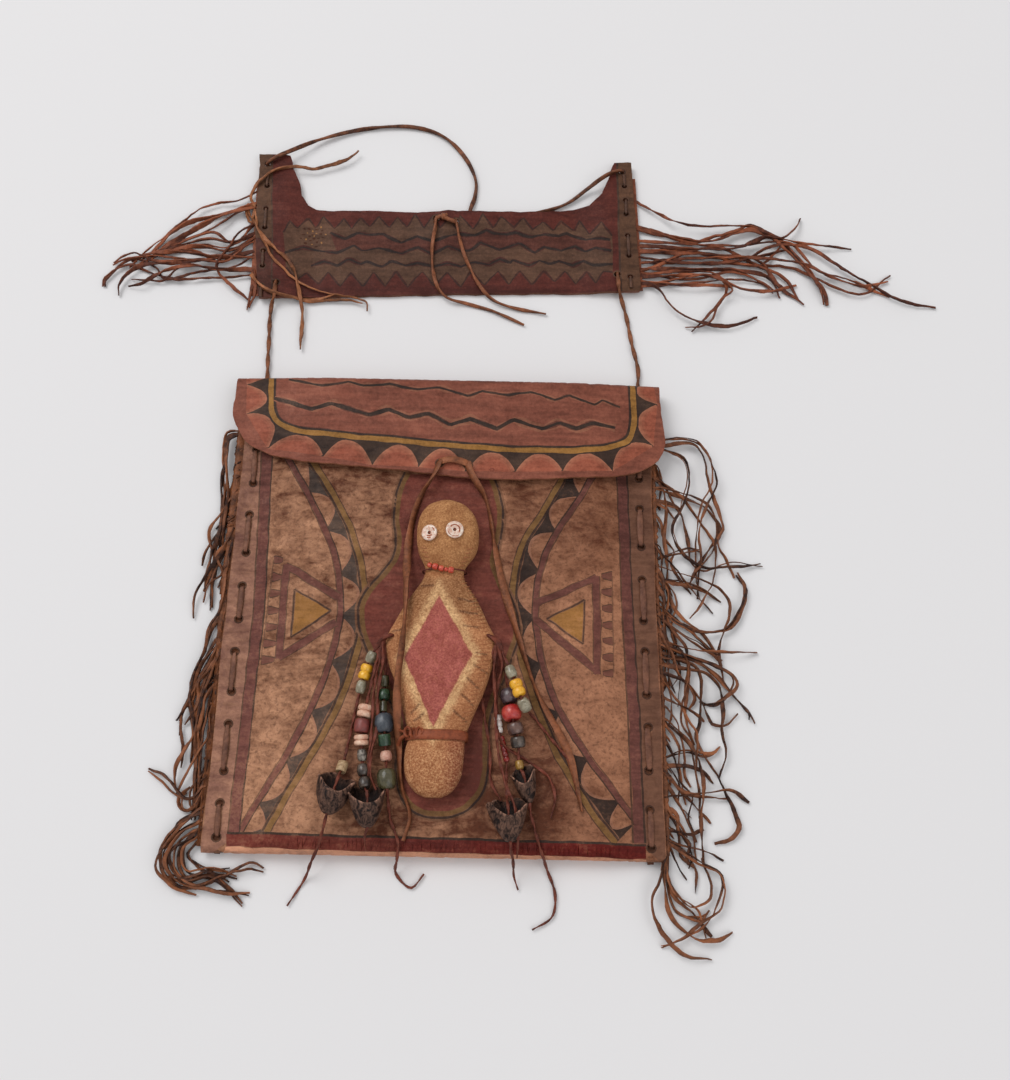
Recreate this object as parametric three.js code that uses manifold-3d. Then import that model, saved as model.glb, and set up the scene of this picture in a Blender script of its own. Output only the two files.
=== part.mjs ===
// A rawhide carrying envelope: a laced and fringed case with a folding flap, a horned carrying band
// and a stuffed doll with bead strings. Millimetres, +Z up. It lies on its back with the flap's fold
// toward +Y, and the origin is the middle of the case's flat back.
import * as THREE from "three";
import { mergeVertices } from "three/addons/utils/BufferGeometryUtils.js";
import ManifoldModule from "manifold-3d";

const kernel = await ManifoldModule();
kernel.setup();
const { Manifold, Mesh: SolidMesh } = kernel;

// Driving sizes
const HIDE = 1.8;
const GAP = 0.3;
const CASE = { width: 254, length: 288, depth: 13, mouth: 16 };
const SEAM = { margin: 14, shoulder: 26, lift: 2.0, gap: 1.8, inset: 8, flatTop: 10, ease: 16 };
const CURL = { radius: 4.9, end: 14 };
const FLAP = { overhang: 4.5, clear: 3.0, droop: 3.6, drooping: 61.5, fold: 4.2 };
const THONG = { width: 2.8, thick: 1.0 };
const FRINGE = { thick: 1.2, reach: 4, strand: 1.2, layers: 4, layer: 2.1 };
const BAND = { x: -8, y: 246, turn: 2.3, thick: 2.2, lift: 2.7, topLift: 4.6, low: -33 };
const CORD = { strap: 1.45, tie: 1.2, hanger: 0.95, thread: 0.55 };
const FRONT_REST = CASE.depth + GAP;
const SEAM_TOP = SEAM.lift + 2 * HIDE + SEAM.gap;
const TOP = CASE.length / 2;
// The flap turns about the middle of the sheet where the back has curled upright
const HINGE = { y: TOP - HIDE / 2, z: CURL.radius, nose: HIDE / 2 };

// Hand-drawn routes are given on a sketch 1010 wide and 1080 high, seen 20 degrees off the vertical
const SKETCH = { tilt: 20, roll: 1.2, focal: 1146.5, distance: 695.5, aimX: 35.5, aimY: 43.5, caseHalf: 127 };

const rad = THREE.MathUtils.degToRad;
const lerp = THREE.MathUtils.lerp;
const clamp = THREE.MathUtils.clamp;
const smooth = (value, low, high) => THREE.MathUtils.smoothstep(value, low, high);

// Lays a sketch point on the level plane at height z
function laid([across, down, z = 0]) {
  const roll = rad(SKETCH.roll);
  const a = (across - 505) * Math.cos(roll) + (down - 540) * Math.sin(roll);
  const b = (down - 540) * Math.cos(roll) - (across - 505) * Math.sin(roll);
  const sin = Math.sin(rad(SKETCH.tilt));
  const cos = Math.cos(rad(SKETCH.tilt));
  const share = (SKETCH.distance * cos - z) / (cos * SKETCH.focal + sin * b);
  const y = -SKETCH.distance * sin + share * (sin * SKETCH.focal - cos * b);
  return new THREE.Vector3(share * a + SKETCH.aimX, y + SKETCH.aimY, z);
}

// Solids

function solidOf(geometry) {
  const bare = new THREE.BufferGeometry();
  bare.setAttribute("position", geometry.getAttribute("position"));
  bare.setIndex(geometry.getIndex());
  const merged = mergeVertices(bare, 1e-4);
  const mesh = new SolidMesh({
    numProp: 3,
    vertProperties: new Float32Array(merged.getAttribute("position").array),
    triVerts: new Uint32Array(merged.getIndex().array),
  });
  mesh.merge();
  return new Manifold(mesh);
}

function geometryOf(solid) {
  const mesh = solid.getMesh();
  const geometry = new THREE.BufferGeometry();
  geometry.setAttribute("position", new THREE.BufferAttribute(new Float32Array(mesh.vertProperties), 3));
  geometry.setIndex(new THREE.BufferAttribute(new Uint32Array(mesh.triVerts), 1));
  return geometry;
}

const joined = (geometries) => geometryOf(Manifold.union(geometries.map(solidOf)));

function pierced(geometry, tools) {
  return geometryOf(Manifold.difference([solidOf(geometry), ...tools.map(solidOf)]));
}

// Closes two matching grids of points, one for each face, into a thick sheet
function closedSheet(columns, rows, pointOn) {
  const positions = [];
  const index = [];
  const at = (face, c, r) => (face * columns + c) * rows + r;
  for (let face = 0; face < 2; face += 1) {
    for (let c = 0; c < columns; c += 1) {
      for (let r = 0; r < rows; r += 1) {
        positions.push(...pointOn(face, c, r));
      }
    }
  }
  const quad = (p, q, s, t) => index.push(p, q, s, p, s, t);
  for (let c = 0; c + 1 < columns; c += 1) {
    for (let r = 0; r + 1 < rows; r += 1) {
      quad(at(0, c, r), at(0, c + 1, r), at(0, c + 1, r + 1), at(0, c, r + 1));
      quad(at(1, c, r), at(1, c, r + 1), at(1, c + 1, r + 1), at(1, c + 1, r));
    }
    const last = rows - 1;
    quad(at(0, c, 0), at(1, c, 0), at(1, c + 1, 0), at(0, c + 1, 0));
    quad(at(0, c, last), at(0, c + 1, last), at(1, c + 1, last), at(1, c, last));
  }
  const end = columns - 1;
  for (let r = 0; r + 1 < rows; r += 1) {
    quad(at(0, 0, r), at(0, 0, r + 1), at(1, 0, r + 1), at(1, 0, r));
    quad(at(0, end, r), at(1, end, r), at(1, end, r + 1), at(0, end, r + 1));
  }
  const geometry = new THREE.BufferGeometry();
  geometry.setAttribute("position", new THREE.Float32BufferAttribute(positions, 3));
  geometry.setIndex(index);
  return facingOut(geometry);
}

// Turns the triangles round if they enclose a negative volume
function facingOut(geometry) {
  const point = geometry.getAttribute("position");
  const order = geometry.getIndex().array;
  const corner = [new THREE.Vector3(), new THREE.Vector3(), new THREE.Vector3()];
  let volume = 0;
  for (let i = 0; i < order.length; i += 3) {
    corner.forEach((vector, k) => vector.fromBufferAttribute(point, order[i + k]));
    volume += corner[0].dot(corner[1].clone().cross(corner[2]));
  }
  if (volume < 0) {
    for (let i = 0; i < order.length; i += 3) {
      [order[i + 1], order[i + 2]] = [order[i + 2], order[i + 1]];
    }
  }
  return geometry;
}

// A smooth route that keeps its own spacing, so that tight turns can be given more points
class Route extends THREE.Curve {
  constructor(points) {
    super();
    this.spline = new THREE.CatmullRomCurve3(points, false, "centripetal");
  }

  getPoint(share, target) {
    return this.spline.getPoint(share, target);
  }

  getPointAt(share, target) {
    return this.getPoint(share, target);
  }

  getTangentAt(share, target) {
    return this.getTangent(share, target);
  }

  getSpacedPoints(divisions) {
    return this.getPoints(divisions);
  }
}

function cordAlong(points, radius, { sides = 8, perSpan = 2, flat = 1 } = {}) {
  const section = new THREE.Shape();
  for (let i = 0; i < sides; i += 1) {
    const angle = ((i + 0.5) / sides) * Math.PI * 2;
    const corner = [radius * flat * Math.cos(angle), radius * Math.sin(angle)];
    if (i === 0) {
      section.moveTo(...corner);
    } else {
      section.lineTo(...corner);
    }
  }
  return new THREE.ExtrudeGeometry(section, {
    steps: (points.length - 1) * perSpan,
    extrudePath: new Route(points),
    bevelEnabled: false,
    curveSegments: 1,
  });
}

const slit = (x, y, wide = 3.6, tall = 2.2) => new THREE.BoxGeometry(wide, tall, 60).translate(x, y, 0);

// The case

// 1 over the filled middle, 0 on the laced margins
function swell(x) {
  const edge = CASE.width / 2 - SEAM.margin;
  return smooth(edge - Math.abs(x), 0, SEAM.shoulder);
}

function backUnder(x, y) {
  return SEAM.lift * (1 - swell(x)) * clamp((TOP - SEAM.flatTop - y) / SEAM.ease, 0, 1);
}

const frontTop = (x) => lerp(SEAM_TOP, CASE.depth, swell(x));

// The sheet's two faces at one width, from the curled top of the back round to the mouth
function caseProfile(x) {
  const outer = [];
  const inner = [];
  for (const degrees of [CURL.end, 50, 90]) {
    const [cos, sin] = [Math.cos(rad(degrees)), Math.sin(rad(degrees))];
    const tight = CURL.radius - HIDE;
    outer.push([TOP - CURL.radius + CURL.radius * cos, CURL.radius * (1 - sin)]);
    inner.push([TOP - CURL.radius + tight * cos, CURL.radius - tight * sin]);
  }
  for (const y of [TOP - SEAM.flatTop, TOP - SEAM.flatTop - SEAM.ease]) {
    outer.push([y, backUnder(x, y)]);
    inner.push([y, backUnder(x, y) + HIDE]);
  }
  const low = backUnder(x, 0);
  const round = (frontTop(x) - low) / 2;
  for (let step = 0; step <= 5; step += 1) {
    const angle = rad(270 - step * 36);
    const [cos, sin] = [Math.cos(angle), Math.sin(angle)];
    const centre = [-TOP + round, low + round];
    outer.push([centre[0] + round * cos, centre[1] + round * sin]);
    inner.push([centre[0] + (round - HIDE) * cos, centre[1] + (round - HIDE) * sin]);
  }
  outer.push([TOP - CASE.mouth, frontTop(x)]);
  inner.push([TOP - CASE.mouth, frontTop(x) - HIDE]);
  return [outer, inner];
}

const mirrored = (half) => [...half.map((value) => -value).reverse(), ...half];
const SEAM_X = CASE.width / 2 - SEAM.inset;
const HANGER_X = CASE.width / 2 - 9;
const HOLES = {
  left: [96, 75, 53, 30, 8, -11, -32, -54, -74, -99, -118, -135],
  right: [105, 83, 62, 39, 17, -7, -27, -51, -71, -94, -117, -136],
};

function makeCase() {
  const half = CASE.width / 2;
  const inset = half - SEAM.margin;
  const across = mirrored([inset - SEAM.shoulder, inset - SEAM.shoulder / 2, inset, half]);
  const profiles = across.map(caseProfile);
  const sheet = closedSheet(across.length, profiles[0][0].length, (face, c, r) => [
    across[c],
    ...profiles[c][face][r],
  ]);
  const holes = [
    ...HOLES.left.map((y) => slit(-SEAM_X, y)),
    ...HOLES.right.map((y) => slit(SEAM_X, y)),
  ];
  const notches = [-HANGER_X, HANGER_X].map((x) => new THREE.BoxGeometry(5, 12, 6).translate(x, TOP, 5.0));
  return pierced(sheet, [...holes, ...notches]);
}

// A thong in running stitch, drawn as a flat band in the plane of its seam and given its width across
function runningStitch(stops, startsOnFront, levels, width) {
  const middle = [];
  const tail = 9;
  let front = startsOnFront;
  const levelNow = () => (front ? levels.front : levels.back);
  const way = Math.sign(stops[1] - stops[0]);
  middle.push([stops[0] - way * tail, levelNow()]);
  for (const stop of stops) {
    middle.push([stop, levelNow()]);
    front = !front;
    middle.push([stop, levelNow()]);
  }
  middle.push([stops[stops.length - 1] + way * tail, levelNow()]);
  const halfThick = THONG.thick / 2;
  const sides = [[], []];
  middle.forEach(([along, level], i) => {
    const before = middle[Math.max(0, i - 1)];
    const after = middle[Math.min(middle.length - 1, i + 1)];
    const first = new THREE.Vector2(along - before[0], level - before[1]).normalize();
    const second = new THREE.Vector2(after[0] - along, after[1] - level).normalize();
    const offset = new THREE.Vector2(-first.y - second.y, first.x + second.x);
    if (i === 0 || i === middle.length - 1) {
      offset.normalize();
    }
    sides[0].push(new THREE.Vector2(along + offset.x * halfThick, level + offset.y * halfThick));
    sides[1].unshift(new THREE.Vector2(along - offset.x * halfThick, level - offset.y * halfThick));
  });
  const outline = new THREE.Shape([...sides[0], ...sides[1]]);
  const band = new THREE.ExtrudeGeometry(outline, { depth: width, steps: 1, bevelEnabled: false });
  band.translate(0, 0, -width / 2);
  // outline axes (along, level, across) to part axes (across, along, level)
  band.applyMatrix4(new THREE.Matrix4().set(0, 0, 1, 0, 1, 0, 0, 0, 0, 1, 0, 0, 0, 0, 0, 1));
  return band;
}

function makeSideLacing(side) {
  const levels = { front: SEAM_TOP + GAP + THONG.thick / 2, back: SEAM.lift - GAP - THONG.thick / 2 };
  const stops = side < 0 ? HOLES.left : HOLES.right;
  const lacing = runningStitch(stops, false, levels, THONG.width);
  return lacing.translate(side * SEAM_X, 0, 0);
}

// Fringe strands, each a route on the sketch; the first point sets where it leaves the heading

const SIDE_STRANDS = {
  left: [
    [[236, 424], [224, 465], [222, 515], [213, 550], [203, 588]],
    [[238, 480], [228, 540], [215, 570], [209, 609]],
    [[237, 505], [230, 545], [219, 592]],
    [[235, 545], [222, 605], [209, 630], [190, 690], [193, 728], [190, 762]],
    [[226, 632], [197, 672], [190, 705], [196, 745], [193, 800]],
    [[224, 650], [205, 690], [197, 725], [190, 820]],
    [[221, 690], [207, 735], [203, 775], [196, 822]],
    [[214, 760], [200, 790], [188, 799], [163, 775], [147, 768]],
    [[209, 812], [180, 824], [160, 852], [170, 880], [212, 878], [241, 904]],
    [[208, 820], [176, 838], [168, 868], [248, 893]],
    [[207, 827], [178, 845], [178, 872], [200, 885], [262, 870]],
  ],
  right: [
    [[662, 434], [700, 446], [716, 485], [699, 530], [698, 598]],
    [[662, 446], [702, 460], [721, 522], [735, 577]],
    [[662, 454], [689, 480], [672, 533], [704, 567], [762, 562]],
    [[662, 468], [667, 530], [668, 592], [680, 615], [718, 655]],
    [[662, 482], [716, 548], [690, 617]],
    [[660, 500], [706, 508], [722, 530], [689, 584]],
    [[660, 566], [700, 580], [728, 600], [719, 650], [724, 680]],
    [[660, 612], [700, 632], [738, 618], [738, 572]],
    [[660, 630], [700, 650], [758, 652]],
    [[660, 645], [705, 662], [737, 688], [705, 704]],
    [[660, 674], [697, 690], [697, 740], [740, 826], [715, 843]],
    [[661, 716], [690, 745], [702, 780], [705, 865]],
    [[663, 812], [690, 832], [725, 860]],
    [[663, 838], [700, 862], [722, 880], [714, 912], [662, 948]],
    [[663, 846], [666, 890], [658, 925], [680, 952], [712, 960]],
    [[664, 850], [676, 905], [700, 936], [733, 931]],
  ],
};

const BAND_STRANDS = {
  left: [
    [[258, 190], [215, 203], [193, 214], [140, 254]],
    [[257, 205], [220, 214], [185, 226], [152, 250]],
    [[257, 214], [218, 262], [232, 292], [250, 306]],
    [[256, 230], [235, 243], [200, 241], [155, 251]],
    [[256, 242], [222, 258], [155, 256], [112, 263]],
    [[256, 254], [185, 266], [135, 270], [118, 294]],
    [[256, 272], [210, 279], [165, 280], [101, 285]],
  ],
  right: [
    [[636, 197], [655, 213], [685, 228], [750, 228], [786, 242], [852, 247]],
    [[637, 222], [712, 240], [755, 231], [785, 245], [828, 304]],
    [[638, 238], [735, 250], [780, 240], [800, 217]],
    [[638, 247], [720, 264], [775, 247], [810, 250], [862, 280], [937, 306]],
    [[639, 256], [760, 261], [830, 278], [888, 280]],
    [[639, 264], [735, 270], [768, 278], [780, 297]],
    [[640, 272], [695, 278], [726, 289], [720, 303], [692, 330]],
    [[640, 280], [673, 308], [700, 323], [758, 316]],
  ],
};

// Joins strands to their heading; each strand leaves it level and then settles on the ground
function fringed(heading, strands, rootOf, keepClear) {
  const pieces = strands.map((route, i) => {
    const settled = FRINGE.strand + (i % FRINGE.layers) * FRINGE.layer;
    const points = route.slice(1).map(([across, down]) => keepClear(laid([across, down, settled])));
    const root = rootOf(laid([...route[0], 4]));
    return cordAlong([root, ...points], FRINGE.strand, { sides: 3, perSpan: 1 });
  });
  return joined([heading, ...pieces]);
}

function makeSideFringe(side) {
  const edge = CASE.width / 2;
  const [inner, outer] = [edge - SEAM.margin + 1.4, edge + FRINGE.reach];
  const [low, high] = [-TOP + 3.6, TOP - 32];
  const level = SEAM.lift + HIDE + SEAM.gap / 2;
  const heading = new THREE.BoxGeometry(outer - inner, high - low, FRINGE.thick);
  heading.translate((side * (inner + outer)) / 2, (low + high) / 2, level);
  const stops = (side < 0 ? HOLES.left : HOLES.right).filter((y) => y < high + 1);
  const root = (point) => new THREE.Vector3(side * (edge + 2), clamp(point.y, low + 2, high - 2), level);
  const keepClear = (point) => {
    point.x = side * Math.max(Math.abs(point.x), edge + 3.2);
    return point;
  };
  const below = (point) => {
    point.x += side * (edge - SKETCH.caseHalf);
    return point.y < -TOP - 4 ? point : keepClear(point);
  };
  const strands = side < 0 ? SIDE_STRANDS.left : SIDE_STRANDS.right;
  const slits = stops.map((y) => slit(side * SEAM_X, y, 3.6, 2.4));
  return pierced(fringed(heading, strands, root, below), slits);
}

// The flap

// Its lower edge: distance in from the side, then length from the fold
const FLAP_EDGE = [[86.5, 66], [51.5, 62.5], [26.5, 57.5], [12.5, 51.5], [3.5, 42.5], [0, 32]];
const FLAP_MIDDLE = 67;
const FLAP_HALF = CASE.width / 2 + FLAP.overhang;

const flapDroop = (x) => FLAP.droop * smooth(Math.abs(x), FLAP_HALF - FLAP.drooping, FLAP_HALF + 8);
const flapMiddle = (x) => CASE.depth + FLAP.clear + HIDE / 2 - flapDroop(x);

function flapProfile(x, edge) {
  const faces = [[], []];
  const row = (y, z, normal, half) => {
    faces[0].push([y + normal[0] * half, z + normal[1] * half]);
    faces[1].push([y - normal[0] * half, z - normal[1] * half]);
  };
  const half = HIDE / 2;
  row(HINGE.y, HINGE.z - HINGE.nose * 0.87, [1, 0], half * 0.5);
  row(HINGE.y, HINGE.z, [1, 0], half);
  const level = flapMiddle(x);
  for (const degrees of [0, 45, 90]) {
    const [cos, sin] = [Math.cos(rad(degrees)), Math.sin(rad(degrees))];
    const y = HINGE.y - FLAP.fold * (1 - cos);
    row(y, level - FLAP.fold * (1 - sin), [cos, sin], half);
  }
  row(edge, level, [0, 1], half);
  return faces;
}

const FLAP_HOLES = [laid([440, 463, 17]), laid([468, 465, 17])];

function makeFlap() {
  const half = FLAP_EDGE.map(([inward, length]) => [FLAP_HALF - inward, TOP - length]);
  const outline = [...half.map(([x, y]) => [-x, y]).reverse(), [0, TOP - FLAP_MIDDLE], ...half];
  const profiles = outline.map(([x, edge]) => flapProfile(x, edge));
  const sheet = closedSheet(outline.length, profiles[0][0].length, (face, c, r) => [
    outline[c][0],
    ...profiles[c][face][r],
  ]);
  return pierced(sheet, FLAP_HOLES.map((hole) => slit(hole.x, hole.y, 3.6, 3.6)));
}

function makeFlapTie() {
  const over = CASE.depth + FLAP.clear + HIDE + GAP + CORD.tie;
  const under = CASE.depth + FLAP.clear / 2;
  const rest = FRONT_REST + CORD.tie;
  const [left, right] = FLAP_HOLES;
  const at = (hole, z) => new THREE.Vector3(hole.x, hole.y, z);
  const leftLeg = [
    [403, 841, rest], [410, 816, rest], [401.5, 786, rest], [399, 747, rest + 2], [397, 714, rest + 11],
    [398, 675, rest + 15.3], [402, 645, rest + 17], [405, 615, rest + 16.6], [406, 588, rest + 12],
    [407, 562, rest + 2.5],
    [409, 540, rest], [414, 514, rest], [423, 492, rest + 0.6], [430, 481, over], [436, 471, over + 0.5],
  ];
  const rightLeg = [
    [471, 473, over + 0.5], [477, 483, over], [485, 497, rest + 0.6], [490, 516, rest], [494, 541, rest],
    [503, 585, rest], [517, 632, rest], [537, 692, rest], [568, 752, rest], [582, 812, rest],
  ];
  const points = [
    ...leftLeg.map(laid),
    at(left, over),
    at(left, under + 0.8),
    at(left, under).lerp(at(right, under), 0.5),
    at(right, under + 0.8),
    at(right, over),
    ...rightLeg.map(laid),
  ];
  return cordAlong(points, CORD.tie, { perSpan: 1 });
}

// The carrying band, worked out along and across its own length and then turned into place

const BAND_TOP = [
  [-125.5, 79], [-107, 79], [-104, 67], [-98, 50], [-95, 40], [-89, 34.5], [-78, 32],
  [-22, 31.2], [4, 31], [64, 29.6], [87, 33.5], [104, 44], [112.5, 57.5], [115, 68.5], [127, 69],
];
const BAND_HOLES = {
  horns: [[-121, 70], [120.5, 60]],
  corners: [[-111, -23.5], [113, -21]],
  middle: [[-6, 24.5], [7, 21.5]],
};
const BAND_STOPS = { left: [52, 34, 19, 1, -11, -26], right: [48, 37, 26, 9, -7, -23] };
const BAND_LACE_X = { left: -120.5, right: 121.5 };

function bandUnder(along, across) {
  const ends = BAND.lift * clamp((Math.abs(along) - 88) / 20, 0, 1);
  const middle = clamp((across - 5) / 25, 0, 1) * smooth(along, -24, 2) * (1 - smooth(along, 66, 88));
  return ends + BAND.topLift * middle;
}

function placedBand(geometry) {
  return geometry.rotateZ(rad(BAND.turn)).translate(BAND.x, BAND.y, 0);
}

function onBand(along, across, z) {
  const turn = new THREE.Vector3(along, across, z).applyAxisAngle(new THREE.Vector3(0, 0, 1), rad(BAND.turn));
  return turn.add(new THREE.Vector3(BAND.x, BAND.y, 0));
}

function makeBand() {
  const sheet = closedSheet(BAND_TOP.length, 3, (face, c, r) => {
    const [along, top] = BAND_TOP[c];
    const across = [BAND.low, 5, top][r];
    return [along, across, bandUnder(along, across) + (face ? 0 : BAND.thick)];
  });
  const holes = Object.values(BAND_HOLES).flat().map(([x, y]) => slit(x, y, 4.2, 4.2));
  const stops = ["left", "right"].flatMap((side) => BAND_STOPS[side].map((y) => slit(BAND_LACE_X[side], y, 3.4, 2)));
  return placedBand(pierced(sheet, [...holes, ...stops]));
}

const BAND_HEADING = { thick: 1.0, under: 1.4 };

function makeBandLacing(side) {
  const levels = {
    front: BAND.lift + BAND.thick + GAP + THONG.thick / 2,
    back: BAND_HEADING.under - GAP - THONG.thick / 2 + 0.1,
  };
  const lacing = runningStitch(BAND_STOPS[side], true, levels, 2.4);
  return placedBand(lacing.translate(BAND_LACE_X[side], 0, 0));
}

function makeBandFringe(side) {
  const way = side === "left" ? -1 : 1;
  const end = side === "left" ? 125.5 : 127;
  const [inner, outer] = [end - 9, end + 3];
  const [low, high] = [BAND.low + 1, 56];
  const level = BAND_HEADING.under + BAND_HEADING.thick / 2;
  const heading = new THREE.BoxGeometry(outer - inner, high - low, BAND_HEADING.thick);
  heading.translate((way * (inner + outer)) / 2, (low + high) / 2, level);
  const slits = BAND_STOPS[side].map((y) => slit(BAND_LACE_X[side], y, 3.4, 2.2));
  const placed = placedBand(pierced(heading, slits));
  const upright = new THREE.Vector3(0, 0, 1);
  const local = (point) => point.clone().sub(onBand(0, 0, 0)).applyAxisAngle(upright, -rad(BAND.turn));
  const root = (point) => onBand(way * (end + 1.4), clamp(local(point).y, low + 2, high - 2), level);
  const keepClear = (point) => {
    const here = local(point);
    return onBand(way * Math.max(Math.abs(here.x), end + 2.2), here.y, point.z);
  };
  return fringed(placed, BAND_STRANDS[side], root, keepClear);
}

// Thongs of the band

function makeStrap() {
  const [left, right] = BAND_HOLES.horns;
  const over = BAND.lift + BAND.thick + GAP + CORD.strap;
  const ground = CORD.strap + 0.1;
  const loop = [
    [290, 151, over], [322, 139, 3], [366, 129, ground], [412, 127, ground], [444, 137, ground],
    [466, 159, ground], [476, 182, ground], [475, 197, ground],
  ];
  const points = [
    onBand(left[0], left[1], 1.7),
    onBand(left[0], left[1], over - 0.6),
    onBand(left[0] + 5, left[1] + 3.5, over + 0.4),
    ...loop.map(laid),
    onBand(17, 29.2, ground),
    onBand(38, 28.4, ground),
    onBand(60, 29.4, ground),
    onBand(82, 37, ground),
    onBand(96, 47, 3.4),
    onBand(106, 53, over + 0.6),
    onBand(114, 58, over + 0.5),
    onBand(right[0], right[1], over - 0.6),
    onBand(right[0], right[1], 1.7),
  ];
  return cordAlong(points, CORD.strap, { perSpan: 1 });
}

function makeBandTie() {
  const [left, right] = BAND_HOLES.middle;
  const under = (hole) => bandUnder(hole[0], hole[1]);
  const face = (along, across) => bandUnder(along, across) + BAND.thick + GAP + CORD.tie;
  const deep = CORD.tie + 0.15;
  const ground = CORD.tie + 0.1;
  const leftLeg = [
    [524, 325, ground], [495, 312, ground], [468, 304, ground], [446, 297, 3.4], [436, 283, 4.0], [432, 250, 4.1],
  ];
  const rightLeg = [
    [463, 251, 4.1], [473, 274, 4.0], [482, 289, 4.0], [493, 300, 2.6], [514, 308, ground], [546, 314, ground],
  ];
  const points = [
    ...leftLeg.map(laid),
    onBand(left[0] - 0.4, left[1] - 6, face(left[0], left[1] - 6) + 0.9),
    onBand(left[0], left[1], under(left) + BAND.thick + GAP + CORD.tie),
    onBand(left[0] + 0.4, left[1], deep + 0.5),
    onBand(lerp(left[0], right[0], 0.5), lerp(left[1], right[1], 0.5), deep),
    onBand(right[0] - 0.4, right[1], deep + 0.5),
    onBand(right[0], right[1], under(right) + BAND.thick + GAP + CORD.tie),
    onBand(right[0] + 1, right[1] - 6, face(right[0], right[1] - 6) + 0.9),
    ...rightLeg.map(laid),
  ];
  return cordAlong(points, CORD.tie, { perSpan: 1 });
}

function makeHanger(side) {
  const [along, across] = BAND_HOLES.corners[side < 0 ? 0 : 1];
  const over = BAND.lift + BAND.thick + GAP + CORD.hanger;
  const ground = CORD.hanger + 0.1;
  const route = side < 0
    ? [[272, 303, 3.2], [270, 318, ground], [269, 340, ground], [268, 358, ground + 0.4]]
    : [[621, 298, 3.2], [626, 316, ground], [632, 345, ground], [638, 370, ground + 0.4]];
  const inside = 3.0;
  const points = [
    onBand(along, across, 1.3),
    onBand(along, across, over - 0.8),
    onBand(along + side * 0.2, across - 5, over + 0.2),
    onBand(along + side * 0.4, BAND.low - 1, over),
    ...route.map(laid),
    new THREE.Vector3(side * HANGER_X, TOP + 4, 1.3),
    new THREE.Vector3(side * HANGER_X, TOP - 1, inside),
    new THREE.Vector3(side * HANGER_X, TOP - 9, inside + 0.6),
  ];
  const thong = cordAlong(points, CORD.hanger, { perSpan: 1, flat: 1.9 });
  const knot = new THREE.SphereGeometry(2.1, 5, 3).scale(1.15, 1, 0.8).translate(side * HANGER_X, TOP - 10, inside + 1.4);
  return joined([thong, knot]);
}

// The doll

// Stations up its length: y, middle, half width, lowest and highest point above the case's front
const DOLL = [
  [-119, -1, 4, 4, 8], [-115, -1, 10, 1.6, 12], [-106, -1.2, 15.5, 0.4, 15], [-91, -1, 16.7, 0.4, 14.6],
  [-80, 0, 16, 2.4, 12], [-70, 0.5, 19, 0.6, 14.8], [-54, 1.5, 24.5, 0.3, 16.8], [-38, 0.5, 30, 0.5, 17],
  [-27, 0.5, 31.5, 1, 16.5], [-14, 0.2, 26, 0.9, 15.8], [-2, 0.5, 20, 0.6, 15.5], [11, 0.5, 12, 1.8, 13.4],
  [17, 1, 11.5, 2.2, 13], [27, 2, 17.5, 0.5, 17.5], [38, 2, 19, 0.3, 19], [49, 1.5, 15.5, 0.6, 17.5],
  [56, 1, 10, 2.5, 14.5], [59.5, 1, 3.5, 5.5, 10.5],
];
const DOLL_SIDES = 12;

// A rounded section, flatter at top and bottom than an ellipse
function dollPoint([y, middle, half, low, high], turn) {
  const [cos, sin] = [Math.cos(turn), Math.sin(turn)];
  const waist = lerp(low, high, 0.42);
  const squash = Math.sign(sin) * Math.abs(sin) ** 0.8;
  return [middle + half * cos, y, CASE.depth + waist + squash * (sin > 0 ? high - waist : waist - low)];
}

function dollTop(x, y) {
  const i = clamp(DOLL.findIndex((station) => station[0] > y), 1, DOLL.length - 1);
  const share = (y - DOLL[i - 1][0]) / (DOLL[i][0] - DOLL[i - 1][0]);
  const station = DOLL[i].map((value, k) => lerp(DOLL[i - 1][k], value, share));
  const turn = Math.acos(clamp((x - station[1]) / station[2], -1, 1));
  return dollPoint(station, turn)[2];
}

function loftClosed(rings) {
  const sides = rings[0].length;
  const positions = rings.flat(2);
  const index = [];
  for (let ring = 0; ring + 1 < rings.length; ring += 1) {
    for (let i = 0; i < sides; i += 1) {
      const [p, q] = [ring * sides + i, ring * sides + ((i + 1) % sides)];
      index.push(p, q, q + sides, p, q + sides, p + sides);
    }
  }
  const last = (rings.length - 1) * sides;
  for (let i = 1; i + 1 < sides; i += 1) {
    index.push(0, i + 1, i, last, last + i, last + i + 1);
  }
  const geometry = new THREE.BufferGeometry();
  geometry.setAttribute("position", new THREE.Float32BufferAttribute(positions, 3));
  geometry.setIndex(index);
  return facingOut(geometry);
}

const ARM_HOLES = [laid([392, 637, CASE.depth + 8]), laid([489, 638, CASE.depth + 8])];

function makeDoll() {
  const rings = DOLL.map((station) =>
    Array.from({ length: DOLL_SIDES }, (_, i) => dollPoint(station, ((i + 0.5) / DOLL_SIDES) * Math.PI * 2)),
  );
  const tools = ARM_HOLES.map((hole) => slit(hole.x, hole.y, 3, 3));
  return pierced(loftClosed(rings), tools);
}

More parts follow.
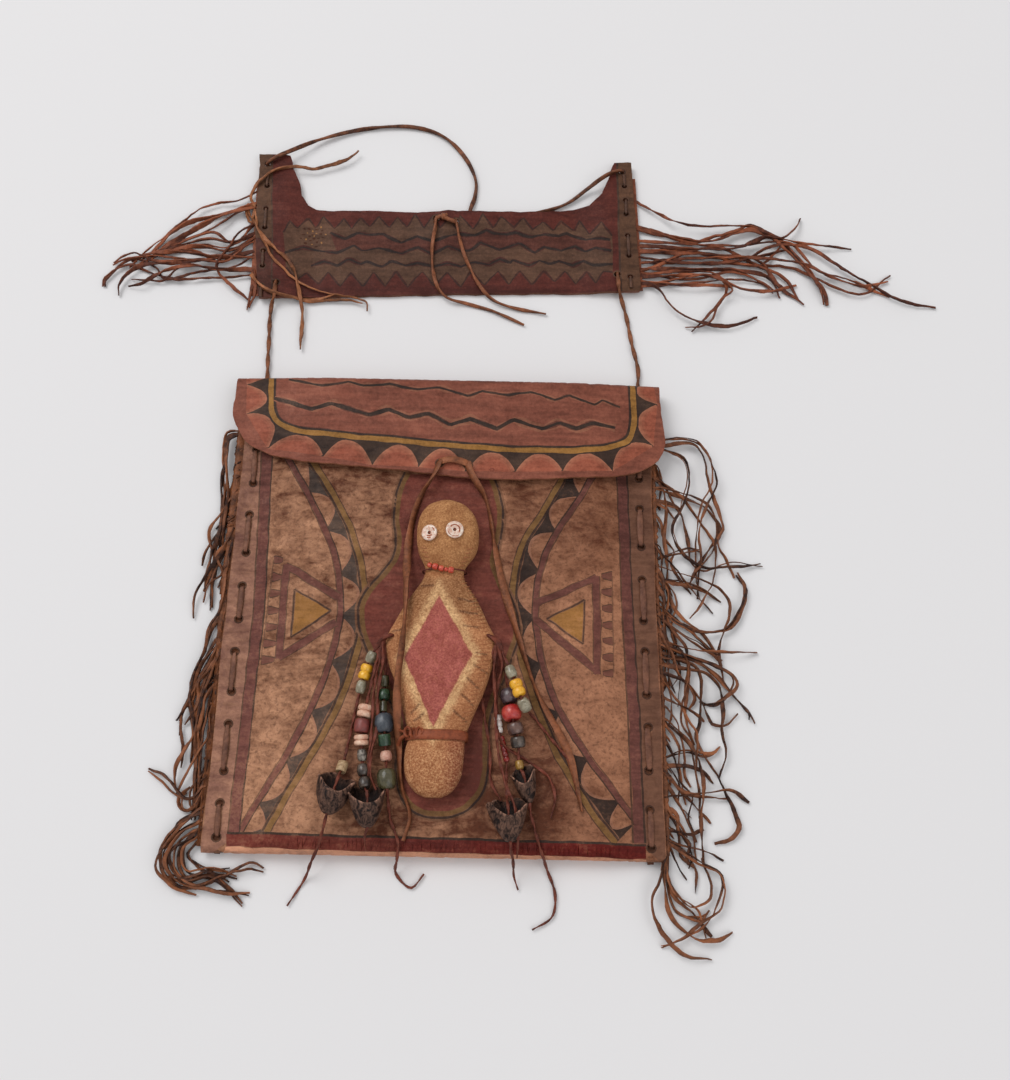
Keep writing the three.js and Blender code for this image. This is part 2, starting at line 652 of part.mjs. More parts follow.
// A ring of thong lying round the doll at one station
function ringRound(y, radius, sides, lean = 0) {
  const around = 10;
  const i = DOLL.findIndex((station) => station[0] >= y);
  const share = (y - DOLL[i - 1][0]) / (DOLL[i][0] - DOLL[i - 1][0]);
  const station = DOLL[i].map((value, k) => lerp(DOLL[i - 1][k], value, share));
  const out = radius + 1.1;
  const [, middle, half, low, high] = station;
  const rings = [];
  for (let step = 0; step < around; step += 1) {
    const turn = (step / around) * Math.PI * 2;
    const [x, , z] = dollPoint([y, middle, half + out, Math.max(low - out, GAP + radius), high + out], turn);
    const centre = new THREE.Vector3(x, y + lean * Math.cos(turn), z);
    const outward = new THREE.Vector3(Math.cos(turn) / half, 0, Math.sin(turn) / 8).normalize();
    const ring = [];
    for (let k = 0; k < sides; k += 1) {
      const angle = (k / sides) * Math.PI * 2;
      const point = centre.clone().addScaledVector(outward, radius * Math.cos(angle));
      point.y += radius * Math.sin(angle);
      ring.push(point.toArray());
    }
    rings.push(ring);
  }
  return wrapped(rings);
}

// Joins a closed loop of rings
function wrapped(rings) {
  const sides = rings[0].length;
  const index = [];
  rings.forEach((ring, r) => {
    const next = ((r + 1) % rings.length) * sides;
    for (let i = 0; i < sides; i += 1) {
      const j = (i + 1) % sides;
      index.push(r * sides + i, r * sides + j, next + j, r * sides + i, next + j, next + i);
    }
  });
  const geometry = new THREE.BufferGeometry();
  geometry.setAttribute("position", new THREE.Float32BufferAttribute(rings.flat(2), 3));
  geometry.setIndex(index);
  return facingOut(geometry);
}

function makeBelt() {
  const ring = ringRound(-80, 0.75, 4);
  const knot = new THREE.SphereGeometry(2.4, 5, 3).scale(0.6, 1, 1).translate(-17.9, -80, CASE.depth + 7);
  return joined([ring, knot]);
}

function makeNecklace() {
  const ring = ringRound(15.4, 0.5, 4);
  const beads = [-6, -1.4, 3.2].map((x) => {
    const bead = new THREE.SphereGeometry(1.95, 5, 3);
    return bead.translate(x, 14.6, dollTop(x, 15) + 2.2);
  });
  return joined([ring, ...beads]);
}

const EYES = { left: { at: [430, 532], radius: 4.8 }, right: { at: [454.5, 530], radius: 5.2 } };

function makeEye({ at, radius }) {
  const thick = 1.5;
  const disc = ringBead([[1.0, -thick / 2], [radius * 0.9, -thick / 2], [radius, 0], [radius * 0.9, thick / 2], [1.0, thick / 2]], 9);
  const middle = laid([...at, CASE.depth + 19]);
  const lean = (dollTop(middle.x + 3, middle.y) - dollTop(middle.x - 3, middle.y)) / 6;
  const nod = (dollTop(middle.x, middle.y + 3) - dollTop(middle.x, middle.y - 3)) / 6;
  const normal = new THREE.Vector3(-lean, -nod, 1).normalize();
  disc.applyQuaternion(new THREE.Quaternion().setFromUnitVectors(new THREE.Vector3(0, 0, 1), normal));
  const seat = new THREE.Vector3(middle.x, middle.y, dollTop(middle.x, middle.y));
  return disc.translate(...seat.addScaledVector(normal, thick / 2 + 0.75).toArray());
}

// Beads: a closed profile (radius, along) turned about its own length

function ringBead(profile, sides = 8) {
  const loop = [...profile, profile[0]].map(([radius, along]) => new THREE.Vector2(radius, along));
  return facingOut(mergeVertices(new THREE.LatheGeometry(loop, sides).rotateX(Math.PI / 2).deleteAttribute("uv").deleteAttribute("normal"), 1e-4));
}

const BORE = 0.95;
const CLAW = { wide: 1.12, high: 0.86 };

const PROFILES = {
  round: (radius, length) => [
    [BORE, -length / 2], [radius * 0.66, -length / 2], [radius, 0], [radius * 0.66, length / 2], [BORE, length / 2],
  ],
  barrel: (radius, length) => [
    [BORE, -length / 2], [radius * 0.82, -length / 2], [radius, 0], [radius * 0.82, length / 2], [BORE, length / 2],
  ],
  tube: (radius, length) => [
    [BORE, -length / 2], [radius, -length / 2], [radius, length / 2], [BORE, length / 2],
  ],
  row: (radius, length, count) => {
    const pitch = length / count;
    const bumps = Array.from({ length: count }, (_, i) => -length / 2 + pitch * i).flatMap((start) => [
      [radius, start + pitch * 0.5], [radius * 0.7, start + pitch],
    ]);
    return [[BORE, -length / 2], [radius * 0.7, -length / 2], ...bumps, [BORE, length / 2]];
  },
  // open end first along the string, pointed end last
  claw: (radius, length) => [
    [BORE, -length / 2], [radius * 0.3, -length / 2], [radius * 0.72, -length * 0.26], [radius * 0.95, length * 0.16],
    [radius, length / 2], [radius - 1.1, length / 2], [radius * 0.6 - 0.8, -length * 0.2], [BORE, -length * 0.36],
  ],
};

// Each string: its route on the sketch with its height above the case's front, the tail that lies on the
// ground, then its beads by route point: name, shape, radius, length and, for a row, how many
const STRINGS = {
  left: [
    {
      route: [
        [379, 645, 11], [371, 657, 7], [365.5, 672, 5.5], [361, 687, 4.5], [353, 722, 2], [345, 757, 3], [342, 767, 4],
        [332, 796, 9.4], [326, 816, 9.4], [318, 846, 1.8], [311, 862, -1.5],
      ],
      tail: [[304, 880], [287, 906]],
      beads: [
        [1, "clear_bead_left_upper", "round", 2.9, 6.8], [2, "yellow_bead_left", "row", 3.5, 8.8, 2],
        [3, "clear_bead_left_lower", "round", 2.9, 7.4], [6, "tan_cube_bead", "tube", 3.0, 6],
        [7, "dewclaw_left_outer", "claw", 8.4, 20],
      ],
    },
    {
      route: [
        [382, 644, 9], [376, 664, 11], [369, 694, 8], [365, 711, 6], [362, 726, 6], [361.5, 740, 6], [362, 755, 5.4],
        [363, 770, 5], [364.5, 783, 5.6], [367, 809, 9.6], [366, 831, 9.2], [364.5, 841, 3], [366, 851, 1.4],
      ],
      tail: [],
      beads: [
        [3, "cream_beads_upper", "row", 4.2, 7.2, 2], [4, "red_barrel_bead", "barrel", 4.4, 7.6],
        [5, "cream_beads_lower", "row", 4.2, 6, 2], [6, "metal_bead", "round", 2.7, 6.6],
        [7, "dark_bead_upper", "round", 3.4, 6.6], [8, "dark_bead_lower", "round", 3.4, 6.4],
        [9, "dewclaw_left_inner", "claw", 8.2, 20],
      ],
    },
    {
      route: [
        [385, 646, 10], [385.5, 664, 8], [385, 681, 5], [384, 695, 5], [383.5, 707, 5.6], [384, 723, 6.5], [384.5, 740, 6],
        [386, 756, 5], [386.5, 779, 6.4], [388, 800, 2.5], [390, 818, 1.2], [398, 843, 1.4], [397, 858, -0.8],
      ],
      tail: [[396, 874], [411, 888], [424, 874]],
      beads: [
        [2, "smoke_bead", "round", 2.5, 6.6], [3, "green_bead", "round", 3.7, 6.2], [4, "olive_bead", "tube", 2.1, 6.2],
        [5, "slate_bead", "round", 5.2, 10.4], [6, "green_tube_bead", "tube", 3.5, 6.4],
        [7, "pink_bead", "round", 3.3, 5.6], [8, "olive_large_bead", "round", 5.4, 11],
      ],
    },
  ],
  right: [
    {
      route: [
        [501, 650, 11], [511, 672, 12], [517.5, 688, 12.5], [524.5, 705, 11.4], [534, 728, 3], [546, 764, 1.2],
        [555, 795, 1.2], [549, 820, 1.2],
      ],
      tail: [],
      beads: [
        [1, "clear_bead_right_upper", "round", 3.1, 7.4], [2, "yellow_bead_right", "row", 3.7, 9.6, 2],
        [3, "clear_bead_right_lower", "round", 3.5, 7.8],
      ],
    },
    {
      route: [
        [500, 652, 9], [506, 676, 7], [509, 696, 5.6], [511.5, 713, 6.4], [515.5, 728.5, 5.6], [518, 742, 5],
        [519.5, 765, 3.5], [526, 787, 6], [529.5, 808, 5.8], [537, 838, 1.8], [542, 854, 0.4], [547, 870, -10.6],
      ],
      tail: [[555, 894], [552, 917], [532, 930]],
      beads: [
        [2, "purple_bead", "round", 5.0, 8.4], [3, "red_bead", "round", 5.6, 8.4], [4, "brown_bead", "barrel", 4.5, 6.6],
        [5, "dark_bead_right", "barrel", 4.2, 6.2], [6, "amber_bead", "round", 2.4, 5],
        [7, "dewclaw_right_upper", "claw", 5.4, 18],
      ],
    },
    {
      route: [
        [496, 652, 8], [496, 690, 4.5], [497, 712, 3.5], [498.5, 724, 3.3], [500, 735, 3], [504, 749, 2.6],
        [506.5, 766, 2.4], [507, 799, 5.4], [509, 822, 9.4], [510.5, 848, 9.2], [513, 861, 2], [514, 877, -9],
      ],
      tail: [[518, 890]],
      beads: [
        [3, "white_seed_beads", "row", 2.1, 10.4, 3], [5, "red_seed_beads", "row", 1.75, 14.6, 5],
        [8, "dewclaw_right_lower", "claw", 8.6, 21],
      ],
    },
  ],
};

const onFront = ([across, down, rise]) => laid([across, down, CASE.depth + rise]);
const onGround = ([across, down]) => laid([across, down, 2 * CORD.thread + 0.1]);

function makeDangles(side) {
  const hole = ARM_HOLES[side === "left" ? 0 : 1];
  const way = side === "left" ? -1 : 1;
  const start = [
    hole.clone().setZ(CASE.depth + 1.6),
    hole.clone().setZ(CASE.depth + 6),
    hole.clone().setZ(CASE.depth + 12.4),
    hole.clone().add(new THREE.Vector3(way * 4, -2.4, 0)).setZ(CASE.depth + 13),
  ];
  const parts = {};
  const threads = [cordAlong([...start, onFront(STRINGS[side][0].route[0])], 1.0, { sides: 5, perSpan: 1 })];
  for (const { route, tail, beads } of STRINGS[side]) {
    const points = [start[3].clone(), ...route.map(onFront), ...tail.map(onGround)];
    const spline = new Route(points);
    const threaded = points.map((point) => [point]);
    for (const [stop, name, shape, radius, length, count] of beads) {
      const tangent = spline.getTangent((stop + 1) / (points.length - 1)).negate();
      const middle = points[stop + 1];
      threaded[stop + 1] = [0.5, -0.5].map((end) => middle.clone().addScaledVector(tangent, end * length));
      const bead = ringBead(PROFILES[shape](radius, length, count), radius > 4.3 ? 8 : radius > 2.2 ? 7 : 5);
      if (shape === "claw") {
        bead.scale(CLAW.wide, CLAW.high, 1);
      }
      bead.applyQuaternion(new THREE.Quaternion().setFromUnitVectors(new THREE.Vector3(0, 0, 1), tangent));
      parts[name] = bead.translate(...middle.toArray());
    }
    threads.push(cordAlong(threaded.flat(), CORD.thread, { sides: 3, perSpan: 1 }));
  }
  parts[`dangle_cords_${side}`] = joined(threads);
  return parts;
}

// Colours by material, for the plain view of the part
const LOOK = {
  rawhide: 0x9a6f54,
  flap_hide: 0x7d463e,
  band_hide: 0x5f2d2a,
  thong: 0x6a4230,
  doll_hide: 0xa57d5a,
  shell: 0xd8cdb8,
  glass: 0x8a5a4a,
  claw: 0x2c2622,
};

const pieces = {
  case: ["rawhide", makeCase()],
  flap: ["flap_hide", makeFlap()],
  side_lacing_left: ["thong", makeSideLacing(-1)],
  side_lacing_right: ["thong", makeSideLacing(1)],
  side_fringe_left: ["thong", makeSideFringe(-1)],
  side_fringe_right: ["thong", makeSideFringe(1)],
  carrying_band: ["band_hide", makeBand()],
  band_lacing_left: ["thong", makeBandLacing("left")],
  band_lacing_right: ["thong", makeBandLacing("right")],
  band_fringe_left: ["thong", makeBandFringe("left")],
  band_fringe_right: ["thong", makeBandFringe("right")],
  strap_thong: ["thong", makeStrap()],
  band_tie_thong: ["thong", makeBandTie()],
  hanger_thong_left: ["thong", makeHanger(-1)],
  hanger_thong_right: ["thong", makeHanger(1)],
  flap_tie_thong: ["thong", makeFlapTie()],
  doll: ["doll_hide", makeDoll()],
  doll_eye_left: ["shell", makeEye(EYES.left)],
  doll_eye_right: ["shell", makeEye(EYES.right)],
  doll_belt: ["thong", makeBelt()],
  doll_necklace: ["thong", makeNecklace()],
};
for (const side of ["left", "right"]) {
  for (const [name, geometry] of Object.entries(makeDangles(side))) {
    const look = name.startsWith("dangle") ? "thong" : name.startsWith("dewclaw") ? "claw" : "glass";
    pieces[name] = [look, geometry];
  }
}

const part = new THREE.Group();
part.name = "parfleche_envelope";
for (const [name, [look, geometry]] of Object.entries(pieces)) {
  const mesh = new THREE.Mesh(geometry, new THREE.MeshStandardMaterial({ color: LOOK[look], name: look }));
  mesh.name = name;
  part.add(mesh);
}

export default part;
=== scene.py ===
"""A painted rawhide envelope with its flap, fringes, carrying band, stuffed doll and bead strings.

Lengths are in millimetres until a mesh or a cord is made, and +Z is up. The envelope lies on its back
with the fold of its flap toward +Y."""

import math
import random

import bpy
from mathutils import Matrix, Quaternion, Vector, noise
from mathutils.geometry import delaunay_2d_cdt


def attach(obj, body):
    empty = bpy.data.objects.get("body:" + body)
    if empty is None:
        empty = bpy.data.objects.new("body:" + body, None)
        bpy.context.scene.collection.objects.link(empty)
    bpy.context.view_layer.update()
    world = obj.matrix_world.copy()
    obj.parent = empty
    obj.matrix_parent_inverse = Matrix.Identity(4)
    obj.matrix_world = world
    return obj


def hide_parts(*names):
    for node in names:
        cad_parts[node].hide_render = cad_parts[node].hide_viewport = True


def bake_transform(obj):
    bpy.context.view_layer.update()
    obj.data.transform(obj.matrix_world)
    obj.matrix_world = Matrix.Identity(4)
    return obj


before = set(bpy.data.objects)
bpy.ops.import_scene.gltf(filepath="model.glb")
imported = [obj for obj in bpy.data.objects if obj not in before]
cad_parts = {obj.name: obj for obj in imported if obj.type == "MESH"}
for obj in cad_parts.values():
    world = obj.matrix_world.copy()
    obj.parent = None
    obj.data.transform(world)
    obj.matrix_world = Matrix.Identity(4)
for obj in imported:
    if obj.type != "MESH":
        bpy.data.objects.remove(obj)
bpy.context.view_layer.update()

bl_info = {
    "name": "Rawhide envelope",
    "version": (1, 0, 0),
    "blender": (4, 5, 0),
    "location": "View3D > Sidebar > Envelope",
    "description": "Builds a painted rawhide envelope with fringes, carrying band, doll and bead strings",
    "category": "Add Mesh",
}

MM = 0.001
SIDES = ((-1, "left"), (1, "right"))
UP = Vector((0, 0, 1))

# Sizes of the part, as its solids have them
HALF = 127.0
TOP = 144.0
DEPTH = 13.0
MOUTH = 16.0
HIDE = 1.8
MARGIN = 14.0
SHOULDER = 26.0
LEAN = 2.4
LEAN_FROM = 40.0
SEAM_LIFT = 2.0
SEAM_GAP = 1.8
SEAM_TOP = SEAM_LIFT + 2 * HIDE + SEAM_GAP
SEAM_X = HALF - 8.0
HANGER_X = HALF - 9.0
CURL = 4.9
CURL_TURN = math.radians(70)
BACK_FLAT = 10.0
BACK_EASE = 16.0
FLAP_HALF = HALF + 4.5
FLAP_CLEAR = 3.0
FLAP_FOLD = 4.2
FLAP_DROOP = 3.6
HINGE_Y = TOP - HIDE / 2
HINGE_Z = CURL
FRINGE_LEVEL = SEAM_LIFT + HIDE + SEAM_GAP / 2
BAND_AT = (-8.0, 246.0)
BAND_TURN = math.radians(2.3)
BAND_THICK = 2.2
BAND_LIFT = 2.7
BAND_TOP_LIFT = 4.6
BAND_LOW = -33.0
REST = DEPTH + 0.3

# The sketch that the drawn points are read on, seen 20 degrees off the vertical
SKETCH_MIDDLE = (505.0, 540.0)
SKETCH_TILT = math.radians(20)
SKETCH_ROLL = math.radians(1.2)
SKETCH_FOCAL = 1146.5
SKETCH_HEIGHT = 1080.0
SKETCH_DISTANCE = 695.5
SKETCH_AIM = (35.5, 43.5)


def srgb(red, green, blue):
    """A colour written in display values, as linear light."""
    shares = (value / 255 for value in (red, green, blue))
    return tuple(c / 12.92 if c <= 0.04045 else ((c + 0.055) / 1.055) ** 2.4 for c in shares)


def dye(red, green, blue, cover=1.0):
    """A pigment in display values and how fully it covers the hide."""
    return (*srgb(red, green, blue), cover)


def clamp(value, low, high):
    return max(low, min(high, value))


def lerp(a, b, share):
    return a + (b - a) * share


def blend(a, b, share):
    return tuple(lerp(p, q, share) for p, q in zip(a, b))


def smooth(value, low, high):
    share = clamp((value - low) / (high - low), 0.0, 1.0)
    return share * share * (3 - 2 * share)


def wander(x, y, z):
    """Smooth noise about 0; where only two numbers change, the third sets one noise apart from another."""
    return noise.noise(Vector((x, y, z)))


def drift(x, y, z):
    return noise.noise_vector(Vector((x, y, z)))


def size_of(name):
    """One of the user's sizes, in millimetres."""
    return getattr(bpy.context.scene.envelope_sizes, name) / MM


def route(text):
    """A drawn line: points of the sketch as across,down or across,down,height."""
    return [tuple(float(value) for value in point.split(",")) for point in text.split()]


def routes(*lines):
    return [route(line) for line in lines]


def laid(across, down, z=0.0):
    """The point at height z that lies under a point of the sketch."""
    right, below = across - SKETCH_MIDDLE[0], down - SKETCH_MIDDLE[1]
    cos, sin = math.cos(SKETCH_ROLL), math.sin(SKETCH_ROLL)
    a, b = right * cos + below * sin, below * cos - right * sin
    cos, sin = math.cos(SKETCH_TILT), math.sin(SKETCH_TILT)
    share = (SKETCH_DISTANCE * cos - z) / (cos * SKETCH_FOCAL + sin * b)
    y = -SKETCH_DISTANCE * sin + share * (sin * SKETCH_FOCAL - cos * b)
    return Vector((share * a + SKETCH_AIM[0], y + SKETCH_AIM[1], z))


def laid_on(height, points):
    """Sketch points laid on a surface whose height is known from x and y."""
    found = []
    for across, down in points:
        z = height(0, 0)
        for _ in range(3):
            point = laid(across, down, z)
            z = height(point.x, point.y)
        found.append((point.x, point.y))
    return found


# Lines and tubes


def catmull(points, per_span=10):
    """A smooth line through the points, centripetal so that it doesn't loop at close points."""
    points = [Vector(p) for p in points]
    ends = [2 * points[0] - points[1]] + points + [2 * points[-1] - points[-2]]
    line = []
    for a, b, c, d in zip(ends, ends[1:], ends[2:], ends[3:]):
        t1 = max((b - a).length, 1e-6) ** 0.5
        t2 = t1 + max((c - b).length, 1e-6) ** 0.5
        t3 = t2 + max((d - c).length, 1e-6) ** 0.5
        for i in range(per_span):
            t = lerp(t1, t2, i / per_span)
            middle = b.lerp(c, (t - t1) / (t2 - t1))
            before = a.lerp(b, t / t1).lerp(middle, t / t2)
            after = middle.lerp(c.lerp(d, (t - t2) / (t3 - t2)), (t - t1) / (t3 - t1))
            line.append(before.lerp(after, (t - t1) / (t2 - t1)))
    line.append(points[-1].copy())
    return line


def length_of(line):
    return sum((b - a).length for a, b in zip(line, line[1:]))


def stepped(line, step):
    """The same line with evenly spaced points, about one for each step."""
    line = [Vector(p) for p in line]
    total = length_of(line)
    count = max(2, round(total / step) + 1)
    made, walked, i = [line[0].copy()], 0.0, 0
    for k in range(1, count - 1):
        target = total * k / (count - 1)
        while walked + (line[i + 1] - line[i]).length < target:
            walked += (line[i + 1] - line[i]).length
            i += 1
        span = (line[i + 1] - line[i]).length
        made.append(line[i].lerp(line[i + 1], (target - walked) / span))
    made.append(line[-1].copy())
    return made


def curved(points, step):
    return stepped(catmull(points), step)


def rounded(points, radius, arc):
    """A line of straight runs whose corners are rounded off."""
    line = [points[0]]
    for before, corner, after in zip(points, points[1:], points[2:]):
        reach = min(radius, (corner - before).length * 0.45, (after - corner).length * 0.45)
        start = corner + (before - corner).normalized() * reach
        end = corner + (after - corner).normalized() * reach
        for k in range(arc + 1):
            share = k / arc
            line.append(start.lerp(corner, share).lerp(corner.lerp(end, share), share))
    return line + [points[-1]]


def oval(wide, thick, sides, power=0.8):
    """A flattened round section; a power below 1 squares it off."""
    section = []
    for i in range(sides):
        angle = 2 * math.pi * i / sides
        cos, sin = math.cos(angle), math.sin(angle)
        across = math.copysign(abs(cos) ** power, cos) * wide / 2
        section.append((across, math.copysign(abs(sin) ** power, sin) * thick / 2))
    return section


def mesh_of(name, points, faces):
    data = bpy.data.meshes.new(name)
    data.from_pydata([p * MM for p in points], [], faces)
    return data


def mark(data, name, values):
    """Stores one value for each point of a mesh."""
    data.attributes.new(name, "FLOAT", "POINT").data.foreach_set("value", values)


def colour_in(data, domain, values):
    data.color_attributes.new("paint", "FLOAT_COLOR", domain).data.foreach_set("color", values)


def placed(name, data, at=(0, 0, 0), turn=None):
    made = bpy.data.objects.new(name, data)
    made.location = at
    if turn is not None:
        made.rotation_mode = "QUATERNION"
        made.rotation_quaternion = turn
    bpy.context.scene.collection.objects.link(made)
    return made


def settle(data, finish, slot, nodes, body="case", sharp=50):
    """Makes a piece of a mesh: its finish, the nodes it stands for and the body it moves with; the slot is
    not used.
    """
    data.polygons.foreach_set("use_smooth", [True] * len(data.polygons))
    data.set_sharp_from_angle(angle=math.radians(sharp))
    if data.validate():
        raise RuntimeError(f"{data.name}: the mesh had faults")
    piece = placed(data.name, data)
    data.materials.append(bpy.data.materials[f"{finish} finish"])
    if nodes:
        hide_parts(*nodes)
    if body:
        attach(piece, body)
    return piece


class Build:
    """Points, faces and point tones that grow into one mesh."""

    def __init__(self):
        self.points = []
        self.faces = []
        self.tones = []

    def add(self, points, faces, tones):
        first = len(self.points)
        self.points.extend(points)
        self.faces.extend([first + i for i in face] for face in faces)
        self.tones.extend(tones)

    def tube(self, line, section, side=None, twist=None, scale=None, tone=0.5, closed=False):
        """Carries a section along a line without turning it, twisted and scaled by the share walked."""
        line = [Vector(p) for p in line]
        last = len(line) - 1
        rings, tones = [], []
        aside = Vector(side) if side else None
        for i, here in enumerate(line):
            if closed:
                along = (line[(i + 1) % len(line)] - line[i - 1]).normalized()
            else:
                along = (line[min(i + 1, last)] - line[max(i - 1, 0)]).normalized()
            if aside is None:
                aside = along.orthogonal()
            aside = (aside - along * aside.dot(along)).normalized()
            over = along.cross(aside)
            share = i / last
            turn = twist(share) if twist else 0.0
            size = scale(share) if scale else 1.0
            cos, sin = math.cos(turn) * size, math.sin(turn) * size
            rings.append([here + aside * (u * cos - v * sin) + over * (u * sin + v * cos)
                          for u, v in section])
            tones.append(tone(share) if callable(tone) else tone)
        self.loft(rings, tones, closed)

    def loft(self, rings, tones, closed=False):
        """Joins rings of points, one tone to a ring, and closes the ends."""
        count, sides = len(rings), len(rings[0])
        faces = []
        for i in range(count if closed else count - 1):
            a, b = i * sides, ((i + 1) % count) * sides
            for k in range(sides):
                m = (k + 1) % sides
                faces.append([a + k, a + m, b + m, b + k])
        if not closed:
            faces.append(list(reversed(range(sides))))
            faces.append(list(range((count - 1) * sides, count * sides)))
        self.add([p for ring in rings for p in ring], faces, [t for t in tones for _ in range(sides)])

    def lathe(self, profile, around, place, tones=None):
        """Turns a closed profile of (radius, along) pairs about its own length; place puts each point."""
        count = len(profile)
        points, faces = [], []
        for k in range(around):
            angle = 2 * math.pi * k / around
            for radius, along in profile:
                points.append(place(Vector((radius * math.cos(angle), radius * math.sin(angle), along))))
            a, b = k * count, ((k + 1) % around) * count
            for i in range(count):
                j = (i + 1) % count
                faces.append([a + i, b + i, b + j, a + j])
        self.add(points, faces, (tones or [0.5] * count) * around)

    def piece(self, name, finish, slot="thong", nodes=None, body="case", sharp=50):
        """Makes the mesh; it stands for the node of its own name unless other nodes are given."""
        data = mesh_of(name, self.points, self.faces)
        mark(data, "tone", self.tones)
        return settle(data, finish, slot, [name] if nodes is None else nodes, body, sharp)


# Cuts of hide with painted fields


HOLE = (0.0, 0.0, 0.0, -1.0)


def hand(point, amount, grain=0.09):
    """Moves a point the way an unsteady hand would; near points move together."""
    x, y = point
    shift = drift(x * grain, y * grain, 7.3)
    fine = drift(x * grain * 4, y * grain * 4, 2.1)
    return (x + amount * (shift.x + 0.4 * fine.x), y + amount * (shift.y + 0.4 * fine.y))


def flat(line):
    return [(p.x, p.y) for p in line]


def flat_line(points, step=2.5):
    return flat(stepped([(x, y, 0) for x, y in points], step))


def flat_curve(points, step=2.5):
    return flat(curved([(x, y, 0) for x, y in points], step))


def leftward(line):
    """The direction to the left of a flat line at each of its points."""
    found = []
    for i in range(len(line)):
        a, b = line[max(i - 1, 0)], line[min(i + 1, len(line) - 1)]
        along = Vector((b[0] - a[0], b[1] - a[1])).normalized()
        found.append((-along.y, along.x))
    return found


def beside(line, distance):
    """A line kept at a distance to the left of another."""
    return [(x + u * distance, y + v * distance) for (x, y), (u, v) in zip(line, leftward(line))]


